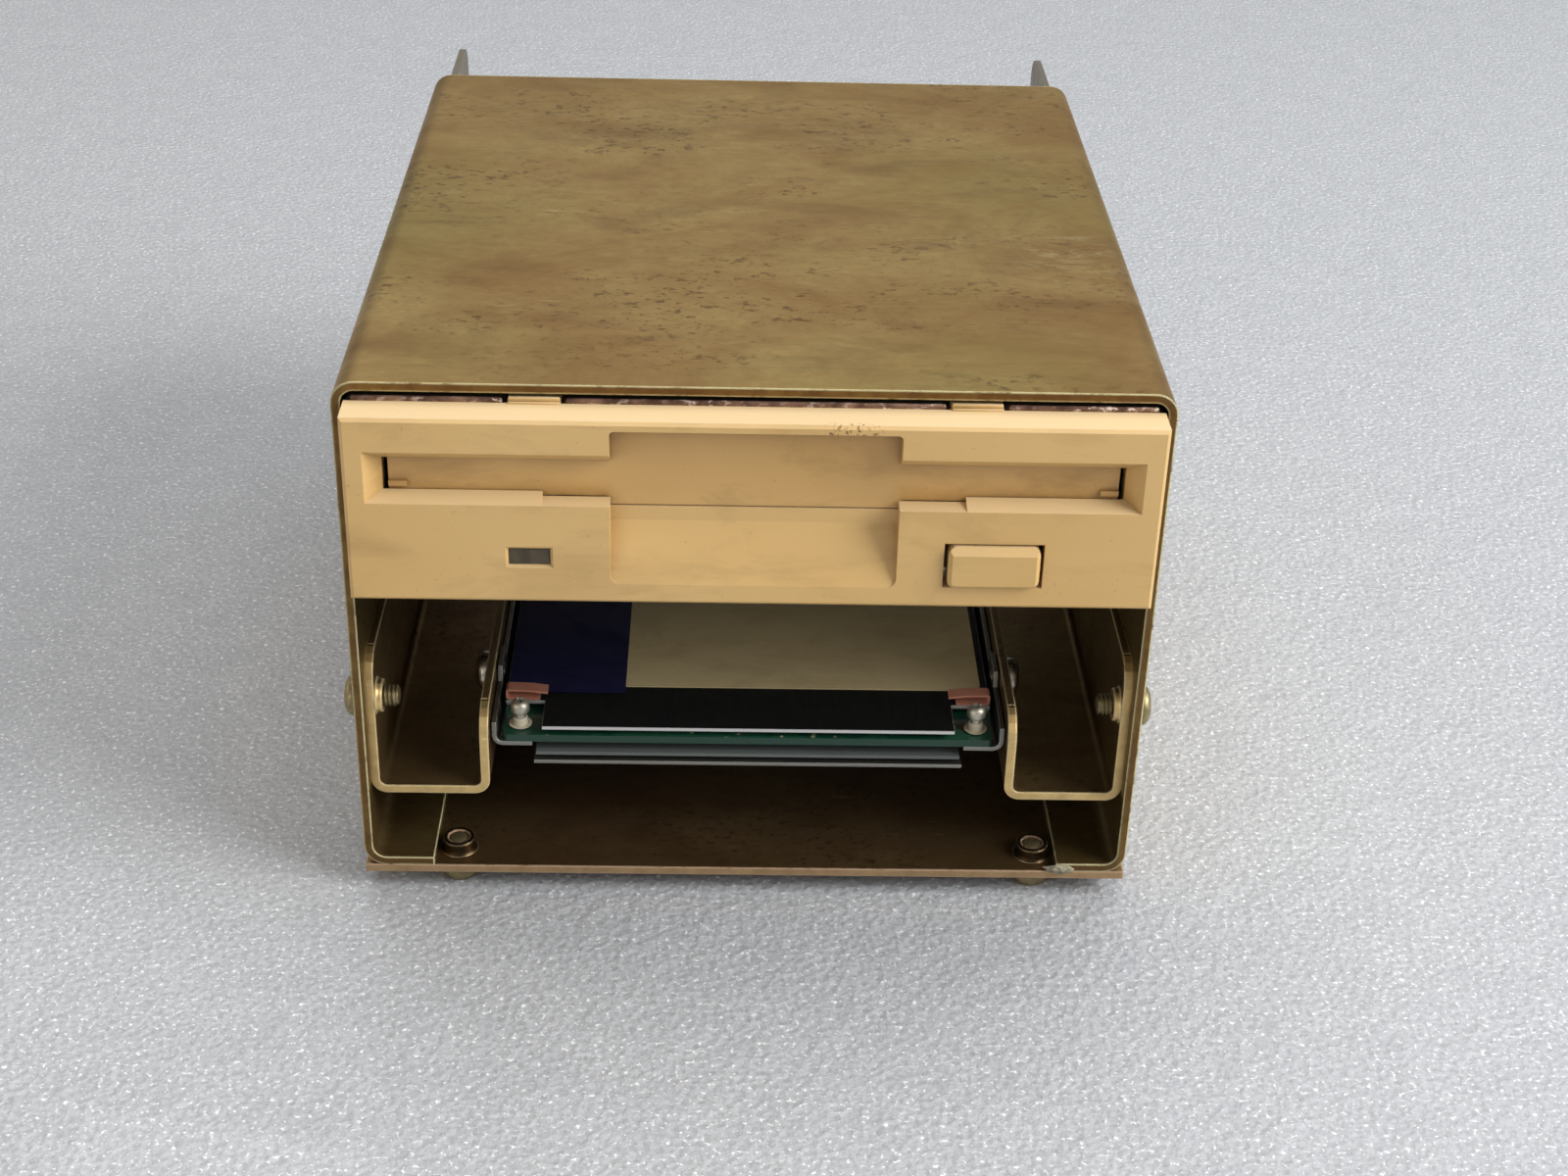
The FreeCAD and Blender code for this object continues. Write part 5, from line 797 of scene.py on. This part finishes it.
def module_contact_clips():
    """Two-leafed clips folded at their outer ends, the upper leaf sprung and longer."""
    sheet = 0.3 * MM
    half = sheet / 2
    lower_short, upper_bend = 1.1 * MM, 2.2 * MM
    whole = Solid()
    for low, high, middle in boxes("module_clips"):
        side = 1 if middle.x > 0 else -1
        outer, inner = (high.x, low.x) if side > 0 else (low.x, high.x)
        fold = outer - side * half
        floor, roof = low.z + half, high.z - half
        path = [(inner + side * lower_short, floor), (fold, floor), (fold, roof),
                (inner + side * upper_bend, roof - 0.12 * MM), (inner, roof - 0.4 * MM)]
        leaf = folded_leaf([Vector((x, 0, z)) for x, z in path], sheet, high.y - low.y)
        whole.add(leaf, Matrix.Translation((0, low.y, 0)))
    whole.place("module_clips_fine", "housing", "module_clips")


def coil_line(radius, turns, length, close, wire, steps=18):
    """Middle line of a helical spring about Z, its end turns close together."""
    points = []
    tight = 1.05 * wire * 2
    loose = (length - 2 * close * tight) / (turns - 2 * close)
    height = 0.0
    for i in range(turns * steps + 1):
        angle = 2 * math.pi * i / steps
        points.append(Vector((radius * math.cos(angle), radius * math.sin(angle), height)))
        turn = i / steps
        height += (tight if turn < close or turn >= turns - close else loose) / steps
    return points


def slide_spring_coils():
    """Tension springs with a hook at each end, made at one length; the real ones shorten as the slide comes
    forward.
    """
    wire, hook = 0.22 * MM, 3.2 * MM
    whole = Solid()
    for low, high, middle in boxes("slide_springs"):
        radius = (high.z - low.z) / 2 - wire
        length = high.y - low.y
        place = facing_way(Y, (middle.x, low.y, middle.z))
        first = []
        for degrees in range(-180, 61, 20):
            angle = math.radians(degrees)
            first.append(Vector((radius * math.cos(angle), 0, hook - radius + radius * math.sin(angle))))
        coil = [p + Z * hook for p in coil_line(radius, 30, length - 2 * hook, 1, wire, 14)]
        last = [Vector((p.x, 0, length - p.z)) for p in reversed(first)]
        for line in (first, coil, last):
            whole.add(tube(line, wire, 6), place)
    springs = whole.place("slide_springs_fine", "housing", "slide_springs", sharp=80)
    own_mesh(springs)


def lever_spring_coil():
    """Torsion spring round the latch lever's pivot with a straight leg."""
    low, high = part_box("lever_spring")
    wire, radius = 0.2 * MM, 2.2 * MM
    middle = Vector((high.x - 2.45 * MM, (low.y + high.y) / 2, low.z + wire))
    whole = Solid(*tube([p + middle for p in coil_line(radius, 2, 0.6 * MM, 0.5, wire)], wire))
    start = Vector((middle.x, middle.y - radius, middle.z))
    end = Vector((low.x + wire, start.y, start.z))
    whole.add(straight_wire(start, end, wire, 8))
    whole.place("lever_spring_fine", "disk_holder", "lever_spring", sharp=80)


def door_spring_coil():
    """Torsion spring on the dust door's hinge, one leg down the back of the door."""
    low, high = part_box("door_spring")
    wire, radius, hinge = 0.18 * MM, 0.62 * MM, 0.87 * MM
    axis_y, axis_z = low.y + hinge, high.z - hinge
    coil = coil_line(radius, 7, high.x - low.x - 2 * wire, 1, wire, 16)
    whole = Solid()
    whole.add(tube([p + Z * wire for p in coil], wire, 6), facing_way(X, (low.x, axis_y, axis_z)))
    top = Vector((low.x + wire, high.y - wire, axis_z + 0.1 * MM))
    foot = Vector((top.x, top.y, low.z + wire))
    whole.add(straight_wire(top, foot, wire, 6))
    whole.place("door_spring_fine", "dust_door", "door_spring", sharp=80)


def lead_screw_groove():
    """Shaft with the right-handed groove that the carriage's nut follows, and a thin neck."""
    low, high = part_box("lead_screw")
    lead, neck, lap = 3.75 * MM, 1.8 * MM, 0.1 * MM
    radius = (high.x - low.x) / 2
    core, thin = radius * 0.72, radius * 0.53
    start = low.y + neck
    length = high.y - start
    thread_end = length * 0.62
    place = facing_way(Y, ((low.x + high.x) / 2, start, (low.z + high.z) / 2))
    ridge = [(0.0, 0.0), (0.1, 0.05), (0.2, 0.95), (0.26, 1.0), (0.5, 1.0), (0.75, 1.0), (0.8, 0.95),
             (0.9, 0.05)]
    whole = Solid()
    whole.add(rod(core, 0, length), place)
    whole.add(helix_surface(core * 0.98, radius, lead, 0.3 * MM, thread_end, ridge, 32), place)
    whole.add(rod(radius * 0.97, thread_end, length), place)
    profile = [(0, -neck), (thin * 0.8, -neck), (thin, -neck * 0.85), (thin, lap), (0, lap)]
    whole.add(turned(profile, 24), place)
    whole.place("lead_screw_fine", "lead_screw", "lead_screw")


def motor_profile(wide, tall, sheet):
    """Radii and heights of the stepper: flange, body with two seams and a rolled edge, and rear boss."""
    body = wide - 0.4 * MM
    end = tall - 1.2 * MM
    seam, ease, boss = 0.3 * MM, 0.25 * MM, 3.4 * MM
    profile = [(0, 0), (wide, 0), (wide, sheet), (body, sheet)]
    for share in (0.36, 0.68):
        y = end * share
        profile += [(body, y - ease), (body - seam, y - 0.1 * MM), (body - seam, y + 0.1 * MM),
                    (body, y + ease)]
    profile += [(body, end - 0.7 * MM), (body - 0.2 * MM, end - ease), (body - 0.7 * MM, end)]
    return profile + [(boss, end), (boss, tall - ease), (boss - 0.3 * MM, tall), (0, tall)]


def eared_plate(x, z, reach, near, far):
    """Plate across Y with a round ear at each side, between two depths."""
    ear = 2.4 * MM
    outline = []
    for side in (1, -1):
        for degrees in range(-90, 91, 15):
            angle = math.radians(degrees)
            out = reach - ear + ear * math.cos(angle)
            outline.append((x + side * out, z + side * ear * math.sin(angle)))
    corners = [Vector((px, depth, pz)) for depth in (near, far) for px, pz in outline]
    count = len(outline)
    faces = [list(range(count)), list(range(count, 2 * count))]
    faces += [[i, (i + 1) % count, count + (i + 1) % count, count + i] for i in range(count)]
    return corners, faces


def plug_on_motor(x, front, crown, top):
    """Plug body on the motor's crown with a row of four pins."""
    half, deep, tall = 4.5 * MM, 4.5 * MM, 3.1 * MM
    pin, pitch = 0.3 * MM, 2.0 * MM
    whole = eased_box((x - half, front, crown), (x + half, front + deep, crown + tall), 0.35 * MM)
    y = front + 3.3 * MM
    for i in range(4):
        px = x + (i - 1.5) * pitch
        whole.add(eased_box((px - pin, y - pin, crown + tall - 0.1 * MM), (px + pin, y + pin, top), 0.1 * MM))
    return whole


def stepper_can():
    """Round motor on an eared flange, with a pilot in front, a boss behind and a plug on top."""
    low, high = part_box("stepper_motor")
    screw_low, screw_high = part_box("lead_screw")
    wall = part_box("guide_rod")[1].y
    x = (low.x + high.x) / 2
    z = (screw_low.z + screw_high.z) / 2
    wide = (z - low.z) / math.cos(math.pi / 20)
    sheet, lap = 1.0 * MM, 0.015 * MM
    whole = Solid()
    whole.add(turned(motor_profile(wide, high.y - wall, sheet), 64), facing_way(Y, (x, wall, z)))
    pilot = wall - low.y
    if pilot > 0.1 * MM:
        whole.add(rod(3.0 * MM, 0, pilot, 40), facing_way(Y, (x, low.y, z)))
    whole.add(eared_plate(x, z, (high.x - low.x) / 2, wall + lap, wall + sheet - lap))
    whole.add(plug_on_motor(x, wall + 4.0 * MM, z + wide - 1.9 * MM, high.z))
    whole.place("stepper_motor_fine", "housing", "stepper_motor")


def rotor_cup():
    """Pressed rotor cup with a bevelled edge and a sunk ring, on the spindle's shaft."""
    low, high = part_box("spindle_rotor")
    ring_low, ring_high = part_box("rotor_magnet")
    wide, top = (high.x - low.x) / 2, high.z
    bore, under = (ring_high.x - ring_low.x) / 2, ring_high.z
    rim = ring_low.z - 0.1 * MM
    bevel, ring, shaft, ease = 0.6 * MM, 0.15 * MM, 2.0 * MM, 0.2 * MM
    profile = [(0, under), (bore, under), (bore, rim), (wide, rim), (wide, top - bevel),
               (wide - 0.18 * MM, top - ease), (wide - bevel, top), (0.72 * wide, top),
               (0.7 * wide, top - ring), (0.62 * wide, top - ring), (0.6 * wide, top), (0, top)]
    joined = under + 0.1 * MM
    place = Matrix.Translation(((low.x + high.x) / 2, (low.y + high.y) / 2, 0))
    whole = Solid()
    whole.add(turned(profile, 96), place)
    spindle = [(0, low.z), (shaft - ease, low.z), (shaft, low.z + ease), (shaft, joined), (0, joined)]
    whole.add(turned(spindle, 40), place)
    whole.place("spindle_rotor_fine", "spindle", "spindle_rotor")


def weld_bead():
    """Small uneven lump of weld at the inner front end of the right flange."""
    wide, tall, proud = 2.0 * MM, 0.75 * MM, 0.55 * MM
    corners, faces = turned([(0.0, 0.0)] + dome(1.0, 0.0, 0.0, 1.0, 5), 20)
    lumps = []
    for x, y, z in corners:
        uneven = 1 + 0.2 * math.sin(5 * math.atan2(y, x) + 7 * z) + 0.12 * math.sin(11 * x)
        lumps.append((x * uneven * wide, y * uneven * tall, z * uneven * proud))
    place = facing_way(-Y, (CAGE_HIGH.x - 9.0 * MM, CAGE_LOW.y + 0.1 * MM, CAGE_LOW.z + 0.4 * MM))
    bead = Solid().add((lumps, faces), place)
    bead.show("weld_bead", "housing", "tray_steel", sharp=80, look="weld_grey")


HOOK_TAB = 27.4 * MM
UNDER_ROOF = CAGE_HIGH.z - CAGE_SHEET


def cover_front_edges():
    """Turned-up front edges of the top cover, seen beside the panel's hook tabs under the cage's top."""
    low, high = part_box("top_cover")
    clear, side = 3.9 * MM, 0.6 * MM
    inner, outer = HOOK_TAB - clear, HOOK_TAB + clear
    edges = Solid()
    for left, right in ((low.x + side, -outer), (-inner, inner), (outer, high.x - side)):
        near = Vector((left, low.y + 0.02 * MM, high.z - 0.5 * MM))
        far = Vector((right, low.y + 0.62 * MM, UNDER_ROOF - 0.5 * MM))
        edges.add(eased_box(near, far, 0.28 * MM))
    edges.show("cover_front_edges", "housing", "cover_steel", sharp=50, look="cover_rim")


def hook_tab_tops():
    """Stepped tops of the front panel's two hook tabs."""
    half = 3.2 * MM
    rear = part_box("top_cover")[0].y - 0.1 * MM
    low = PANEL_HIGH.z - 0.5 * MM
    tops = Solid()
    for middle in (-HOOK_TAB, HOOK_TAB):
        for start, end, top in ((-0.3, 0.05, PANEL_HIGH.z + 0.25 * MM), (0.17, 0.8, UNDER_ROOF - 0.45 * MM)):
            near = Vector((middle - half, rear + start * MM, low))
            far = Vector((middle + half, rear + end * MM, top))
            tops.add(eased_box(near, far, 0.14 * MM))
    tops.show("hook_tab_tops", "housing", "bezel_plastic", sharp=50)


def drawn_collar(tall):
    """Round collar drawn from sheet, flared at its root."""
    wide, bore = 2.26 * MM, 1.54 * MM
    ease = 0.12 * MM
    return turned([(bore, 0), (wide + 0.4 * MM, 0), (wide + 0.2 * MM, 0.1 * MM), (wide + 0.05 * MM, 0.4 * MM),
                   (wide, 0.8 * MM), (wide, tall - 0.14 * MM), (wide - ease, tall), (bore + 0.1 * MM, tall),
                   (bore, tall - ease), (bore, 0)], 28)


def base_collars():
    """Round outsides of the drawn collars in the base plate, in a darker copy of its plating as painted
    shade, with a bright rim as a painted highlight.
    """
    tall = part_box("base_plate")[1].z - CAGE_LOW.z + 0.02 * MM
    whole = Solid()
    for *_, middle in boxes("foot_screws"):
        whole.add(drawn_collar(tall), facing_way(Z, (middle.x, middle.y, CAGE_LOW.z)))
    whole.show("base_collars", "housing", "base_plating", sharp=40, look="collar_shaded_plating")


def channel_collars():
    """Round outsides of the drawn collars in the channels' outer legs."""
    channel_sheet = 1.2 * MM
    wall = CAGE_INSIDE - channel_sheet
    whole = Solid()
    for *_, middle in boxes("channel_screws"):
        side = 1 if middle.x > 0 else -1
        whole.add(drawn_collar(0.93 * MM), facing_way(-side * X, (side * wall, middle.y, middle.z)))
    whole.show("channel_collars", "housing", "channel_plating", sharp=40)


fit_screws("foot_screws", crown=0.72, side=0.66)
fit_screws("channel_screws")
fit_screws("drive_mount_screws")
fit_screws("module_side_screws")
fit_screws("small_screws", pitch=0.35 * MM, read=head_frame)
module_corner_posts()
module_corner_washers()
module_contact_clips()
slide_spring_coils()
lever_spring_coil()
door_spring_coil()
lead_screw_groove()
stepper_can()
rotor_cup()
weld_bead()
cover_front_edges()
hook_tab_tops()
base_collars()
channel_collars()


# Floor, light and camera

def add_floor():
    reach = 4.0
    corners = [(-reach, -reach, 0), (reach, -reach, 0), (reach, reach, 0), (-reach, reach, 0)]
    mesh = bpy.data.meshes.new("floor")
    mesh.from_pydata(corners, [], [(0, 1, 2, 3)])
    floor_look()
    mesh.materials.append(LOOKS["floor_foam"])
    floor = bpy.data.objects.new("floor", mesh)
    bpy.context.scene.collection.objects.link(floor)


def soft_light(name, at, aim, size, watts, tint):
    data = bpy.data.lights.new(name, "AREA")
    data.shape = "RECTANGLE"
    data.size, data.size_y = size
    data.energy = watts
    data.color = tint
    light = bpy.data.objects.new(name, data)
    light.location = at
    light.rotation_euler = (Vector(aim) - Vector(at)).to_track_quat("-Z", "Y").to_euler()
    bpy.context.scene.collection.objects.link(light)


def add_room_light():
    world = bpy.data.worlds.new("soft_room")
    bpy.context.scene.world = world
    world.use_nodes = True
    background = world.node_tree.nodes["Background"]
    background.inputs["Color"].default_value = (0.86, 0.90, 1.0, 1.0)
    background.inputs["Strength"].default_value = 0.25


def add_camera():
    """Camera fitted to corners of the cage and the front panel in the photograph."""
    place = Vector((-4.2466, -336.29, 205.13)) * MM
    pitch, yaw, roll = 0.5289, 0.0312, 0.0295
    focal_pixels, frame_pixels = 2444.28, 1600
    ahead = Vector((math.sin(yaw) * math.cos(pitch), math.cos(yaw) * math.cos(pitch), -math.sin(pitch)))
    right = Vector((math.cos(yaw), -math.sin(yaw), 0))
    up = right.cross(ahead)
    turned_right = right * math.cos(roll) + up * math.sin(roll)
    turned_up = up * math.cos(roll) - right * math.sin(roll)
    basis = Matrix((turned_right, turned_up, -ahead)).transposed().to_4x4()
    data = bpy.data.cameras.new("camera")
    data.sensor_width = 36.0
    data.lens = focal_pixels / frame_pixels * data.sensor_width
    data.clip_start = 0.01
    camera = bpy.data.objects.new("camera", data)
    camera.matrix_world = Matrix.Translation(place) @ basis
    bpy.context.scene.collection.objects.link(camera)
    bpy.context.scene.camera = camera


add_floor()
add_room_light()
OBJECT = (0, 0, 0.03)
DAYLIGHT = (1.0, 0.98, 0.95)
soft_light("window", (0.95, -0.38, 0.7), aim=OBJECT, size=(0.8, 0.7), watts=17.5, tint=DAYLIGHT)
soft_light("ceiling", (0.1, 0.5, 1.3), aim=OBJECT, size=(1.4, 1.0), watts=11.0, tint=DAYLIGHT)
soft_light("room", (-0.15, -1.2, 0.7), aim=(0, 0, 0.04), size=(1.2, 0.6), watts=0.8, tint=(1.0, 0.97, 0.93))
soft_light("lamp", (-0.8, -0.8, 0.4), aim=OBJECT, size=(0.6, 0.4), watts=1.7, tint=(1.0, 0.88, 0.72))
soft_light("wall", (-1.1, 0.3, 0.5), aim=(-0.1, 0, 0), size=(0.9, 0.5), watts=2.4, tint=(1.0, 0.80, 0.52))
add_camera()
bpy.context.scene.view_settings.view_transform = "Standard"
